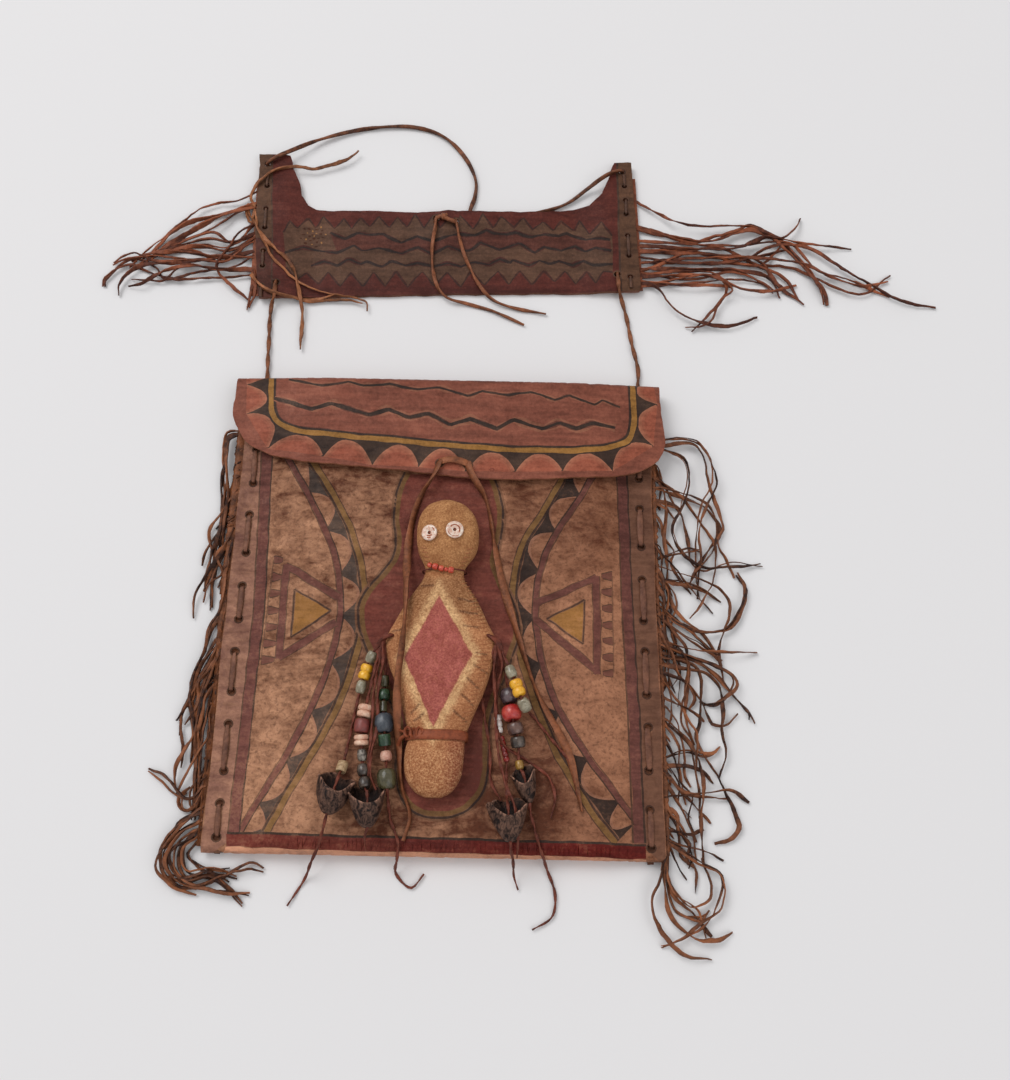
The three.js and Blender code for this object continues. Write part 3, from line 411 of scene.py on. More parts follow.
class HideCut:
    """A flat cut of hide; each field painted on it lies over the ones before."""

    def __init__(self, outline, ground):
        self.points = []
        self.faces = []
        self.inks = []
        self.ground = ground
        self.wobble = size_of("unsteadiness")
        self.add(outline, ground)

    def add(self, polygon, ink):
        first = len(self.points)
        self.points.extend(polygon)
        self.face(range(first, first + len(polygon)), ink)

    def ring(self, corners):
        """The edges round some corners, as pairs of points."""
        points = [self.points[i] for i in corners]
        return zip(points, points[1:] + points[:1])

    def face(self, corners, ink):
        """A field's corners run to the left round it, so one that runs to the right is turned."""
        corners = list(corners)
        area = sum(a[0] * b[1] - b[0] * a[1] for a, b in self.ring(corners)) / 2
        if abs(area) < 1e-3:
            return
        self.faces.append(corners if area > 0 else corners[::-1])
        self.inks.append(ink)

    def field(self, polygon, ink):
        self.add([hand(p, self.wobble) for p in flat_line([*polygon, polygon[0]])[:-1]], ink)

    def stroke(self, line, width, ink, uneven=0.25, soft=0.0, seed=0.0, wobble=None):
        """A brush stroke; a soft one has a thin wash of the same pigment showing on both sides."""
        wobble = self.wobble if wobble is None else wobble
        if soft:
            thinned = 0.45
            wash = (*ink[:3], ink[3] * thinned)
            if self.ground[3] > 0.5:
                wash = (*blend(self.ground[:3], ink[:3], thinned), self.ground[3])
            self.stroke(line, width + soft, wash, uneven * 1.6, seed=seed + 3.0, wobble=wobble)
        line = [hand(p, wobble) for p in line]
        first = len(self.points)
        for (x, y), (u, v) in zip(line, leftward(line)):
            half = width / 2 * (1 + uneven * wander(x * 0.12, y * 0.12, seed + 4.0))
            self.points += [(x + u * half, y + v * half), (x - u * half, y - v * half)]
        for a in range(first, first + 2 * len(line) - 2, 2):
            self.face((a, a + 2, a + 1), ink)
            self.face((a + 1, a + 2, a + 3), ink)

    def edged(self, line, width, ink, edges, uneven=0.25):
        """A stroke over thin charcoal lines; an edge is (aside, width, cover, soft)."""
        for aside, thin, cover, soft in edges:
            self.stroke(beside(line, aside), thin, pigment("charcoal", cover), uneven, soft)
        self.stroke(line, width, ink)

    def covers(self, field, point):
        """Whether a field's outline goes round a point."""
        inside = False
        for a, b in self.ring(self.faces[field]):
            if (a[1] > point.y) != (b[1] > point.y):
                if point.x < a[0] + (b[0] - a[0]) * (point.y - a[1]) / (b[1] - a[1]):
                    inside = not inside
        return inside

    def oval(self, x, y, wide, tall, ink, sides=12, wobble=0.2):
        turns = [2 * math.pi * k / sides for k in range(sides)]
        ring = [(x + wide / 2 * math.cos(turn), y + tall / 2 * math.sin(turn)) for turn in turns]
        self.add([hand(p, wobble) for p in ring], ink)

    def pierce(self, x, y, rim, bore, ink):
        """A hole with a dark rim; both are (wide, tall)."""
        self.oval(x, y, *rim, ink)
        self.oval(x, y, *bore, HOLE)

    def triangles(self, fill):
        """The cut as triangles without its holes: points, corners and the ink of each triangle."""
        points = [Vector(p) for p in self.points + fill]
        spots, _, faces, _, _, owners = delaunay_2d_cdt(points, [], self.faces, 1, 1e-4)
        kept, inks = [], []
        for corners, fields in zip(faces, owners):
            a, b, c = (spots[i] for i in corners)
            turn = (b - a).cross(c - a)
            if 0 not in fields or abs(turn) < 1e-7:
                continue
            middle = (a + b + c) / 3
            top = next(f for f in sorted(fields, reverse=True) if f == 0 or self.covers(f, middle))
            if self.inks[top] != HOLE:
                kept.append(list(corners) if turn > 0 else list(reversed(corners)))
                inks.append(self.inks[top])
        used = sorted({i for corners in kept for i in corners})
        number = {old: new for new, old in enumerate(used)}
        return [spots[i] for i in used], [[number[i] for i in corners] for corners in kept], inks

    def sheet(self, name, fill, place, thick, rim, soil):
        """Lays the cut's triangles by place and gives the sheet its thickness, bare inside and soil mark; on
        the case's front the soil mark also holds painted shadow and sheen.
        """
        spots, front, inks = self.triangles(fill)
        near = 0.3
        upper, lower = [], []
        for x, y in spots:
            across = place(x + near, y) - place(x - near, y)
            up = place(x, y + near) - place(x, y - near)
            normal = across.cross(up).normalized()
            upper.append(place(x, y) + normal * thick / 2)
            lower.append(place(x, y) - normal * thick / 2)
        count = len(spots)
        open_edges = {}
        for corners in front:
            for a, b in zip(corners, corners[1:] + corners[:1]):
                if (b, a) in open_edges:
                    del open_edges[(b, a)]
                else:
                    open_edges[(a, b)] = True
        sides = [[b, a, a + count, b + count] for a, b in open_edges]
        under = [[i + count for i in reversed(corners)] for corners in front]
        data = mesh_of(name, upper + lower, front + under + sides)
        values = [value for ink in inks for value in ink * 3]
        colour_in(data, "CORNER", values + list(INSIDE * (3 * len(under)) + rim * (4 * len(sides))))
        mark(data, "soil", [soil(x, y) for x, y in spots] + [0.0] * count)
        return data


def stains_and_painted_light_on(height, marks, shift=lambda p: p):
    """Darker and lighter marks of (across, down, wide, tall, amount) on the sketch, below 0 darker: stains
    and wear, and on the case's front also painted shadow and sheen.
    """
    spots = []
    for across, down, wide, tall, amount in marks:
        x, y = shift(laid_on(height, [(across, down)])[0])
        spots.append((x, y, wide / 2, tall / 2, amount))

    def soil(x, y):
        total = 0.0
        for mx, my, wide, tall, amount in spots:
            far = ((x - mx) / wide) ** 2 + ((y - my) / tall) ** 2
            if far < 8:
                total += amount * math.exp(-far)
        return clamp(total, -1, 1)

    return soil


def jittered(x0, x1, step_x, y0, y1, step_y, seed):
    """Points scattered evenly over a rectangle, so that the triangles between them have no rows."""
    draw = random.Random(seed)
    columns, rows = round((x1 - x0) / step_x), round((y1 - y0) / step_y)
    made = []
    for r in range(rows):
        for c in range(columns):
            x = x0 + (c + 0.5 + draw.uniform(-0.3, 0.3)) * (x1 - x0) / columns
            y = y0 + (r + 0.5 + draw.uniform(-0.3, 0.3)) * (y1 - y0) / rows
            made.append((x, y))
    return made


# Shapes that several pieces share


def swell(x):
    """1 over the filled middle of the case, 0 on its laced margins."""
    return smooth(HALF - MARGIN - abs(x), 0, SHOULDER)


def lean(x, y):
    """The case's right side leans in toward its mouth."""
    return -LEAN * smooth(y, -TOP, TOP * 0.6) * clamp((x - LEAN_FROM) / (HALF - LEAN_FROM), 0, 1)


def unlean(point):
    """The flat place of a point that is painted on the standing front."""
    x, y = point
    share = -LEAN * smooth(y, -TOP, TOP * 0.6) / (HALF - LEAN_FROM)
    return ((x + LEAN_FROM * share) / (1 + share) if x > LEAN_FROM else x, y)


def on_front(points):
    return [unlean(p) for p in laid_on(front_top, points)]


def back_under(x, y):
    return SEAM_LIFT * (1 - swell(x)) * clamp((TOP - BACK_FLAT - y) / BACK_EASE, 0, 1)


def front_top(x, _y=0.0):
    return lerp(SEAM_TOP, DEPTH, swell(x))


def flap_top(x, _y=0.0):
    droop = FLAP_DROOP * smooth(abs(x), FLAP_HALF - 61.5, FLAP_HALF + 8)
    return DEPTH + FLAP_CLEAR + HIDE - droop


def on_band(along, across, z):
    cos, sin = math.cos(BAND_TURN), math.sin(BAND_TURN)
    return Vector((BAND_AT[0] + along * cos - across * sin, BAND_AT[1] + along * sin + across * cos, z))


def band_local(x, y):
    cos, sin = math.cos(BAND_TURN), math.sin(BAND_TURN)
    dx, dy = x - BAND_AT[0], y - BAND_AT[1]
    return dx * cos + dy * sin, dy * cos - dx * sin


def band_under(along, across):
    """Height of the band's underside: lifted by the fringes at its ends and by the strap in the middle."""
    ends = BAND_LIFT * clamp((abs(along) - 88) / 20, 0, 1)
    middle = clamp((across - 5) / 25, 0, 1) * smooth(along, -24, 2) * (1 - smooth(along, 66, 88))
    return ends + BAND_TOP_LIFT * middle


def band_top(x, y):
    return band_under(*band_local(x, y)) + BAND_THICK


# Sizes and colours that a user would change


def length(name, description, value):
    return bpy.props.FloatProperty(name=name, description=description, default=value * MM, unit="LENGTH")


def colour(name, description, *value):
    return bpy.props.FloatVectorProperty(
        name=name, description=description, default=srgb(*value), size=3, min=0, max=1, subtype="COLOR")


class EnvelopeSizes(bpy.types.PropertyGroup):
    """Sizes of the soft details."""

    strand_width: length("Fringe strand width", "Width of one cut strand", 2.45)
    strand_thickness: length("Fringe strand thickness", "Thickness of one cut strand", 1.4)
    thong_width: length("Lacing width", "Width of the lacing thongs", 2.6)
    ripple: length("Hide ripple", "How far the front's hide stands out of true", 0.7)
    unsteadiness: length("Brush unsteadiness", "How far a painted edge strays", 0.55)


class EnvelopeColours(bpy.types.PropertyGroup):
    """Pigments and hides."""

    hide_light: colour("Hide, light", "Bare hide where it is rubbed", 190, 138, 105)
    hide_dark: colour("Hide, dark", "Bare hide where it is soiled", 88, 47, 29)
    red: colour("Flap red", "Earth red of the flap", 124, 70, 55)
    purple: colour("Purple", "Purple brown of the stripes and arcs", 103, 60, 53)
    dark_red: colour("Dark red", "Field behind the doll", 116, 58, 48)
    charcoal: colour("Charcoal", "Teeth and thin lines", 35, 29, 27)
    ochre: colour("Ochre", "Curved yellow line of the flap", 142, 100, 48)
    olive_ochre: colour("Dull ochre", "Curved yellow lines of the front", 124, 90, 50)
    gold: colour("Gold ochre", "Yellow triangles", 148, 102, 52)
    olive: colour("Olive", "Line round the doll's field", 112, 80, 46)
    band_red: colour("Band red", "Ground of the carrying band", 82, 37, 30)
    band_tan: colour("Band tan", "Zigzag field of the carrying band", 85, 59, 45)
    band_end: colour("Band ends", "Laced ends of the carrying band", 84, 57, 41)
    thong_dark: colour("Thong, dark", "Dark thong leather", 46, 25, 18)
    thong_light: colour("Thong, light", "Rubbed thong leather", 152, 92, 58)
    doll_tan: colour("Doll tan", "Hide of the doll's body", 188, 126, 85)
    doll_brown: colour("Doll brown", "Hide of the doll's head", 188, 132, 86)
    doll_red: colour("Doll red", "Painted diamond", 180, 98, 90)
    doll_cream: colour("Doll cream", "Rubbed border of the diamond", 234, 190, 138)
    floor: colour("Floor", "Pale studio floor", 232, 230, 230)


def colour_of(name):
    return tuple(getattr(bpy.context.scene.envelope_colours, name))


def pigment(name, cover=1.0):
    """One of the user's colours and how fully it covers the hide."""
    return (*colour_of(name), cover)


BARE = (0.3, 0.18, 0.12, 0.0)
INSIDE = dye(150, 112, 82, 0.5)


# Finishes


class Shading:
    """A node tree being wired; most calls add one node and give back the socket of its result."""

    def __init__(self, tree):
        self.tree = tree

    def put(self, value, socket):
        """Links a socket into an input, or sets the input to a constant."""
        if isinstance(value, bpy.types.NodeSocket):
            self.tree.links.new(value, socket)
        elif socket.type == "RGBA" and len(value) == 3:
            socket.default_value = (*value, 1.0)
        else:
            socket.default_value = value

    def add(self, kind, inputs=None, **settings):
        made = self.tree.nodes.new(f"ShaderNode{kind}")
        for name, value in settings.items():
            setattr(made, name, value)
        for key, value in (inputs or {}).items():
            self.put(value, made.inputs[key])
        return made.outputs

    def mix(self, share, a, b, way="MIX"):
        inputs = {0: share, 6: a, 7: b}
        return self.add("Mix", inputs, data_type="RGBA", blend_type=way, clamp_factor=True)[2]

    def maths(self, operation, a, b=0.0, c=0.0):
        return self.add("Math", {0: a, 1: b, 2: c}, operation=operation)[0]

    def times(self, a, b):
        return self.maths("MULTIPLY", a, b)

    def rest_of(self, share):
        return self.maths("SUBTRACT", 1.0, share)

    def weighed(self, *pairs):
        """The sum of values, each times its own weight."""
        total = self.times(*pairs[0])
        for value, weight in pairs[1:]:
            total = self.maths("MULTIPLY_ADD", value, weight, total)
        return total

    def ranged(self, value, low, high, to_low=0.0, to_high=1.0):
        inputs = {"Value": value, "From Min": low, "From Max": high, "To Min": to_low, "To Max": to_high}
        return self.add("MapRange", inputs, clamp=True)["Result"]

    def noisy(self, vector, scale, detail=4.0, roughness=0.55, distortion=0.0):
        inputs = {"Vector": vector, "Scale": scale, "Detail": detail, "Roughness": roughness}
        return self.add("TexNoise", {**inputs, "Distortion": distortion})["Fac"]

    def stretched(self, vector, by):
        return self.add("VectorMath", {0: vector, 1: by}, operation="MULTIPLY")[0]

    def part(self, vector, axis):
        return self.add("SeparateXYZ", {0: vector})[axis]

    def group(self, name, **inputs):
        return self.add("Group", inputs, node_tree=bpy.data.node_groups[name])

    def relief(self, vector, grain, crease, edge=0.0):
        return self.group("Hide relief", Vector=vector, Grain=grain, Crease=crease, Edge=edge)["Normal"]

    def stored(self, name):
        return self.add("Attribute", attribute_name=name)

    def vector(self):
        return self.add("TexCoord")["Object"]

    def coated(self, colour, rough, normal=None, shine=0.5, clear=0.0):
        inputs = {"Base Color": colour, "Roughness": rough, "Specular IOR Level": shine}
        if normal is not None:
            inputs["Normal"] = normal
        return self.add("BsdfPrincipled", {**inputs, "Transmission Weight": clear})[0]

    def show(self, shader):
        self.add("OutputMaterial", {0: shader})


def new_finish(name):
    made = bpy.data.materials.new(f"{name} finish")
    made.use_nodes = True
    made.node_tree.nodes.clear()
    return Shading(made.node_tree)


SOCKETS = {"vector": "NodeSocketVector", "value": "NodeSocketFloat", "colour": "NodeSocketColor"}


def new_group(name, inputs, outputs):
    """A shader node group; an input is a vector, a colour or the default of a value."""
    tree = bpy.data.node_groups.new(name, "ShaderNodeTree")
    for label, kind in inputs.items():
        named = kind in SOCKETS
        socket = tree.interface.new_socket(
            label, in_out="INPUT", socket_type=SOCKETS[kind if named else "value"])
        if not named:
            socket.default_value = kind
    for label, kind in outputs.items():
        tree.interface.new_socket(label, in_out="OUTPUT", socket_type=SOCKETS[kind])
    given, out = tree.nodes.new("NodeGroupInput"), tree.nodes.new("NodeGroupOutput")
    return Shading(tree), given.outputs, out.inputs


def make_mottle_group():
    """Soiling and rubbing of hide: broad patches, brush-sized blotches, small flecks and brush streaks; also
    slanted crumples, which the hides use for their bump and for painted highlight and shade.
    """
    kinds = ("Patch", "Blotch", "Fleck", "Streak", "Crumple")
    tree, given, out = new_group(
        "Hide mottle", {"Vector": "vector", "Size": 1.0}, dict.fromkeys(kinds, "value"))
    vector = tree.add("VectorMath", {0: given["Vector"], "Scale": given["Size"]}, operation="SCALE")[0]
    drawn = tree.stretched(vector, (0.28, 2.2, 1.0))
    slant = {"Vector": vector, "Rotation": (0.0, 0.0, -0.7), "Scale": (0.55, 1.35, 1.0)}
    slanted = tree.add("Mapping", slant)[0]
    for kind, marks, low, high in (
            ("Patch", tree.noisy(vector, 15.0, 3.0), 0.36, 0.64),
            ("Blotch", tree.noisy(vector, 95.0, 7.0, 0.7, 0.4), 0.34, 0.66),
            ("Fleck", tree.noisy(vector, 520.0, 4.0, 0.68), 0.36, 0.66),
            ("Streak", tree.noisy(drawn, 120.0, 4.0, 0.6), 0.34, 0.66),
            ("Crumple", tree.noisy(slanted, 115.0, 6.0, 0.62, 0.9), 0.33, 0.67)):
        tree.put(tree.ranged(marks, low, high), out[kind])


def make_worn_paint_group():
    """Pigment over hide, deeper where the soil mark darkens and thinned where it is rubbed; the soil mark
    holds stains and, on the case's front, painted shadow and sheen.
    """
    tree, given, out = new_group(
        "Worn paint",
        {"Hide": "colour", "Paint": "colour", "Cover": 1.0, "Blotch": 0.5, "Fleck": 0.5, "Streak": 0.5,
         "Soil": 0.0, "Wear": 0.3},
        {"Colour": "colour", "Cover": "value"})
    blotch, fleck, streak, soil, paint = (given[n] for n in ("Blotch", "Fleck", "Streak", "Soil", "Paint"))
    rubbed = tree.weighed((blotch, 0.3), (fleck, 0.5), (streak, 0.2), (soil, 0.35))
    loss = tree.times(tree.ranged(rubbed, 0.52, 0.86), given["Wear"])
    kept = tree.times(given["Cover"], tree.rest_of(loss))
    depth = tree.weighed((blotch, 0.3), (streak, 0.4), (fleck, 0.3), (soil, 0.6))
    deep = tree.mix(1.0, paint, (0.6, 0.58, 0.57), "MULTIPLY")
    pale = tree.mix(1.0, paint, (1.42, 1.42, 1.42), "MULTIPLY")
    coloured = tree.mix(tree.ranged(depth, 0.15, 0.85), deep, pale)
    tree.put(tree.mix(kept, given["Hide"], coloured), out["Colour"])
    tree.put(kept, out["Cover"])


def make_relief_group():
    """Grain and creases of hide as a surface normal."""
    tree, given, out = new_group(
        "Hide relief", {"Vector": "vector", "Grain": 0.3, "Crease": 0.3, "Edge": 0.0}, {"Normal": "vector"})
    grain = tree.noisy(given["Vector"], 900.0, 3.0, 0.6)
    crease = tree.noisy(given["Vector"], 95.0, 4.0, 0.55, 0.8)
    height = tree.weighed((crease, given["Crease"]), (grain, given["Grain"]), (given["Edge"], 1.0))
    tree.put(tree.add("Bump", {"Strength": 0.6, "Distance": 0.0012, "Height": height})[0], out["Normal"])


def make_thong_group():
    """Colour of a cut thong from its own tone and the wear along it."""
    tree, given, out = new_group(
        "Thong tone", {"Vector": "vector", "Tone": 0.5, "Dark": "colour", "Light": "colour"},
        {"Colour": "colour", "Wear": "value"})
    wear = tree.ranged(tree.noisy(given["Vector"], 300.0, 5.0, 0.68), 0.3, 0.7)
    share = tree.ranged(tree.weighed((given["Tone"], 0.6), (wear, 0.55)), 0.12, 0.95)
    tree.put(tree.mix(share, given["Dark"], given["Light"]), out["Colour"])
    tree.put(share, out["Wear"])


def make_hide_finish(name, wear, crumple, crease, calm=0.0):
    """Painted hide; what is left bare lightens on the crests of its crumples as a painted highlight and
    darkens between them as painted shade together with dirt in the creases.
    """
    tree = new_finish(name)
    light, dark = colour_of("hide_light"), colour_of("hide_dark")
    vector = tree.vector()
    paint = tree.stored("paint")
    soil = tree.stored("soil")["Fac"]
    mottle = tree.group("Hide mottle", Vector=vector, Size=1.0)
    # the crumple share follows the bump: painted highlight on the crests, painted shade and dirt between them
    share = tree.weighed((mottle["Patch"], 0.17), (mottle["Blotch"], 0.38), (mottle["Crumple"], 0.45))
    still = tree.ranged(tree.part(vector, 0), 0.0, 0.08, 0.0, calm)
    # the soil mark holds stains and wear, and on the case's front also painted shadow and a painted sheen
    share = tree.weighed((still, 0.5), (share, tree.rest_of(still)), (soil, 0.5))
    ruddy = (light[0] * 1.03, light[1] * 0.84, light[2] * 0.8)
    bare = tree.mix(tree.ranged(share, 0.16, 0.84), dark, tree.mix(still, light, ruddy))
    spots = tree.ranged(mottle["Fleck"], 0.45, 1.0, 0.0, 0.5)
    bare = tree.mix(spots, bare, tuple(c * 0.5 for c in dark))
    worn = tree.group(
        "Worn paint", Hide=bare, Paint=paint["Color"], Cover=paint["Alpha"], Blotch=mottle["Blotch"],
        Fleck=mottle["Fleck"], Streak=mottle["Streak"], Soil=soil, Wear=wear)
    relief = tree.relief(vector, 0.35, crease, tree.times(mottle["Crumple"], crumple))
    gloss = tree.ranged(mottle["Blotch"], 0.0, 1.0, 0.62, 0.4)
    tree.show(tree.coated(worn["Colour"], gloss, relief, 0.13))


def make_thong_finish(name, dark, light):
    """Cut leather, darkened where it faces down as painted shade."""
    tree = new_finish(name)
    vector = tree.vector()
    tone = tree.group("Thong tone", Vector=vector, Tone=tree.stored("tone")["Fac"], Dark=dark, Light=light)
    facing = tree.part(tree.add("NewGeometry")["Normal"], 2)
    # painted shade: the colour darkens where the surface faces down
    painted_shade_below = tree.mix(1.0, tone["Colour"], tree.ranged(facing, 0.1, 0.85, 0.55, 1.0), "MULTIPLY")
    gloss = tree.ranged(tone["Wear"], 0.0, 1.0, 0.6, 0.4)
    tree.show(tree.coated(painted_shade_below, gloss, tree.relief(vector, 0.5, 0.4), 0.22))


def make_bead_finish(name, base, second, scale, rough, clear=0.0):
    """Old glass, stone or shell: two colours clouded together under a rubbed surface."""
    tree = new_finish(name)
    vector = tree.vector()
    cloud = tree.ranged(tree.noisy(vector, scale, 4.0, 0.6, 0.6), 0.42, 0.62)
    mottle = tree.group("Hide mottle", Vector=vector, Size=2.0)
    grime = tree.ranged(mottle["Fleck"], 0.6, 1.0, 0.0, 0.35)
    dirty = tree.mix(grime, tree.mix(cloud, srgb(*base), srgb(*second)), (0.05, 0.035, 0.025))
    gloss = tree.ranged(cloud, 0.0, 1.0, rough + 0.1, rough)
    tree.show(tree.coated(dirty, gloss, tree.relief(vector, 0.08, 0.1), clear=clear))


def make_horn_finish():
    """Dewclaw: dark and scaly, paler along its rim and black inside."""
    tree = new_finish("horn")
    vector = tree.vector()
    scaly = tree.noisy(tree.stretched(vector, (1.7, 0.95, 1.4)), 260.0, 5.0, 0.68, 0.9)
    flecks = tree.noisy(vector, 900.0, 3.0, 0.6)
    worn = tree.weighed((flecks, 0.2), (tree.ranged(scaly, 0.36, 0.68), 0.62))
    worn = tree.times(tree.ranged(worn, 0.2, 0.85), tree.stored("tone")["Fac"])
    base = tree.mix(worn, srgb(24, 13, 11), srgb(190, 142, 119))
    gloss = tree.ranged(scaly, 0.3, 0.7, 0.36, 0.6)
    tree.show(tree.coated(base, gloss, tree.relief(vector, 0.7, 0.9), 0.15))


def make_doll_finish():
    """Fuzzy painted hide: dusted where the pigment has rubbed off the nap; the paint's alpha is how much."""
    tree = new_finish("doll_hide")
    vector = tree.vector()
    paint = tree.stored("paint")
    mottle = tree.group("Hide mottle", Vector=vector, Size=1.6)
    nap = tree.noisy(vector, 1000.0, 4.0, 0.7)
    dust = tree.times(tree.ranged(nap, 0.42, 0.68), paint["Alpha"])
    dusted = tree.mix(dust, paint["Color"], srgb(232, 192, 142))
    share = tree.weighed((mottle["Fleck"], 0.4), (mottle["Blotch"], 0.6))
    soil = tree.ranged(share, 0.25, 0.85, 0.5, 0.0)
    soiled = tree.mix(soil, dusted, srgb(150, 104, 80), "MULTIPLY")
    soiled = tree.mix(1.0, soiled, tree.ranged(nap, 0.3, 0.7, 0.74, 1.28), "MULTIPLY")
    gloss = tree.ranged(nap, 0.3, 0.7, 0.95, 0.75)
    tree.show(tree.coated(soiled, gloss, tree.relief(vector, 0.9, 0.45), 0.12))


THONG_FINISHES = {
    # name: dark and light leather
    "pale_thong": ((74, 42, 26), (170, 108, 70)),
    "tie_thong": ((58, 32, 21), (162, 98, 64)),
    "lacing_thong": ((68, 40, 31), (136, 90, 68)),
    "heading_thong": ((40, 22, 16), (144, 86, 52)),
    "dark_thong": ((44, 28, 22), (104, 70, 52)),
    "red_fringe": ((72, 35, 23), (163, 91, 59)),
    "red_thong": ((72, 32, 20), (160, 84, 52)),
    "red_thread": ((46, 20, 16), (134, 68, 50)),
}
BEAD_FINISHES = {
    # name: colour, clouded colour, cloud scale, roughness and how much light passes through
    "clear_glass": ((150, 140, 116), (196, 186, 160), 260, 0.12, 0.35),
    "yellow_glass": ((226, 158, 26), (242, 186, 60), 200, 0.22),
    "cream_stone": ((206, 152, 126), (226, 190, 164), 320, 0.4),
    "tan_stone": ((150, 118, 82), (186, 156, 118), 420, 0.5),
    "red_stone": ((104, 44, 38), (128, 58, 50), 300, 0.4),
    "red_glass": ((164, 34, 34), (196, 78, 66), 180, 0.16),
    "coral_glass": ((184, 58, 40), (206, 92, 66), 420, 0.22),
    "dark_red_glass": ((108, 24, 20), (146, 40, 32), 420, 0.18),
    "dark_glass": ((44, 36, 32), (88, 74, 64), 240, 0.18),
    "purple_glass": ((48, 36, 42), (96, 78, 80), 170, 0.16),
    "brown_glass": ((70, 44, 38), (104, 76, 66), 220, 0.2),
    "green_glass": ((30, 56, 38), (66, 94, 64), 220, 0.16, 0.1),
    "olive_glass": ((62, 58, 36), (96, 90, 62), 200, 0.16, 0.2),
    "slate_glass": ((48, 54, 62), (84, 88, 94), 260, 0.34),
    "amber_glass": ((150, 108, 40), (190, 148, 78), 240, 0.2, 0.2),
    "white_glass": ((222, 206, 196), (240, 234, 228), 300, 0.25),
    "pink_stone": ((186, 128, 108), (214, 172, 150), 300, 0.4),
    "shell": ((214, 170, 148), (238, 222, 206), 480, 0.22),
    "metal": ((62, 54, 48), (150, 140, 128), 420, 0.3),
}


def make_finishes():
    for make_group in (make_mottle_group, make_worn_paint_group, make_relief_group, make_thong_group):
        make_group()
    make_hide_finish("rawhide", wear=0.36, crumple=0.75, crease=0.5, calm=0.45)
    make_hide_finish("flap_hide", wear=0.13, crumple=0.15, crease=0.3)
    make_hide_finish("band_hide", wear=0.06, crumple=0.15, crease=0.3)
    make_thong_finish("thong", colour_of("thong_dark"), colour_of("thong_light"))
    for name, (dark, light) in THONG_FINISHES.items():
        make_thong_finish(name, srgb(*dark), srgb(*light))
    make_doll_finish()
    make_horn_finish()
    for name, look in BEAD_FINISHES.items():
        make_bead_finish(name, *look)


# The case


HOLES = {
    -1: [96, 75, 53, 30, 8, -11, -32, -54, -74, -99, -118, -135],
    1: [105, 83, 62, 39, 17, -7, -27, -51, -71, -94, -117, -136],
}
CASE_END = -440.0
FRONT_END = TOP - MOUTH


def ripple(x, y):
    """The front's hide standing a little out of true, still at its margins, fold and mouth."""
    still = swell(x) * smooth(y, -134, -110) * smooth(120 - y, 0, 20)
    broad = wander(x * 0.022, y * 0.022, 3.7)
    small = wander(x * 0.085, y * 0.085, 9.1)
    crumple = smooth(60 - math.hypot(x + 74, y - 54), 0, 40) * wander(x * 0.16, y * 0.05, 5.5)
    return size_of("ripple") * still * (0.8 * broad + 0.35 * small + 0.5 * crumple)


def place_case(x, v):
    """Folds the case's flat cut: v is y down the front, then runs on round the fold and up the back."""
    shift = 0.9 * smooth(abs(x), HALF - 20, HALF) * wander(v * 0.03, x * 0.01, 1.5)
    low = back_under(x, 0) + HIDE / 2
    turn = (front_top(x) - HIDE / 2 - low) / 2
    start = -TOP + HIDE / 2 + turn
    if v >= start:
        return Vector((x + shift + lean(x, v), v, front_top(x) - HIDE / 2 + ripple(x, v)))
    around = (start - v) / turn
    if around <= math.pi:
        return Vector((x + shift, start - turn * math.sin(around), low + turn + turn * math.cos(around)))
    curl_start = TOP - CURL
    path = curl_start - start
    curl = CURL - HIDE / 2
    share = (start - v - math.pi * turn) / (start - math.pi * turn - CASE_END)
    walked = share * (path + curl * CURL_TURN)
    if walked <= path:
        y = start + walked
        return Vector((x + shift + lean(x, y), y, back_under(x, y) + HIDE / 2))
    angle = (walked - path) / curl
    x += shift + lean(x, TOP)
    return Vector((x, curl_start + curl * math.sin(angle), CURL - curl * math.cos(angle)))


def back_v(x, y):
    """Where a point of the back lies on the flat cut."""
    turn = (front_top(x) - HIDE - back_under(x, 0)) / 2
    start = -TOP + HIDE / 2 + turn
    whole = TOP - CURL - start + (CURL - HIDE / 2) * CURL_TURN
    return start - math.pi * turn - (y - start) / whole * (start - math.pi * turn - CASE_END)


ARCS = {
    -1: {
        "purple": route(
            "277,436 291,463 306,490 322,523 334,553 339,582 340,612 336,639 326,672 314,702 296,738"
            " 276,772 256,805 241,831"),
        "ochre": route(
            "300,440 317,468 336,499 351,529 361,563 365,596 364,616 359,645 349,679 337,709 319,742"
            " 299,775 276,815 266,833"),
        "tips": route("318,488 337,524 347,572 351,616 343,664 325,716 300,765 272,812"),
        "bars": routes("287,564 279,659", "286,565 338,597", "279,658 336,622"),
        "gold": route("295,589 291,637 331,611"),
        "teeth": [(284 - 1.5 * k, 274 - 2.1 * k, 560 + 16.7 * k) for k in range(7)],
    },
    1: {
        "purple": route(
            "604,458 589,482 576,504 560,527 546,553 538,582 536,606 537,631 542,662 552,694 568,725"
            " 589,759 612,790 637,822"),
        "ochre": route(
            "577,455 560,482 538,519 521,548 514,579 512,602 516,634 527,680 545,728 570,778 594,816"
            " 615,843"),
        "tips": route("568,490 546,525 528,571 524,618 533,666 553,716 579,768 603,811"),
        "bars": routes("596,576 597,674", "597,578 537,603", "598,672 537,620"),
        "gold": route("585,600 583,644 547,619"),
        "teeth": [(601 + 0.2 * k, 612 + 0.2 * k, 576 + 16.2 * k) for k in range(7)],
    },
}
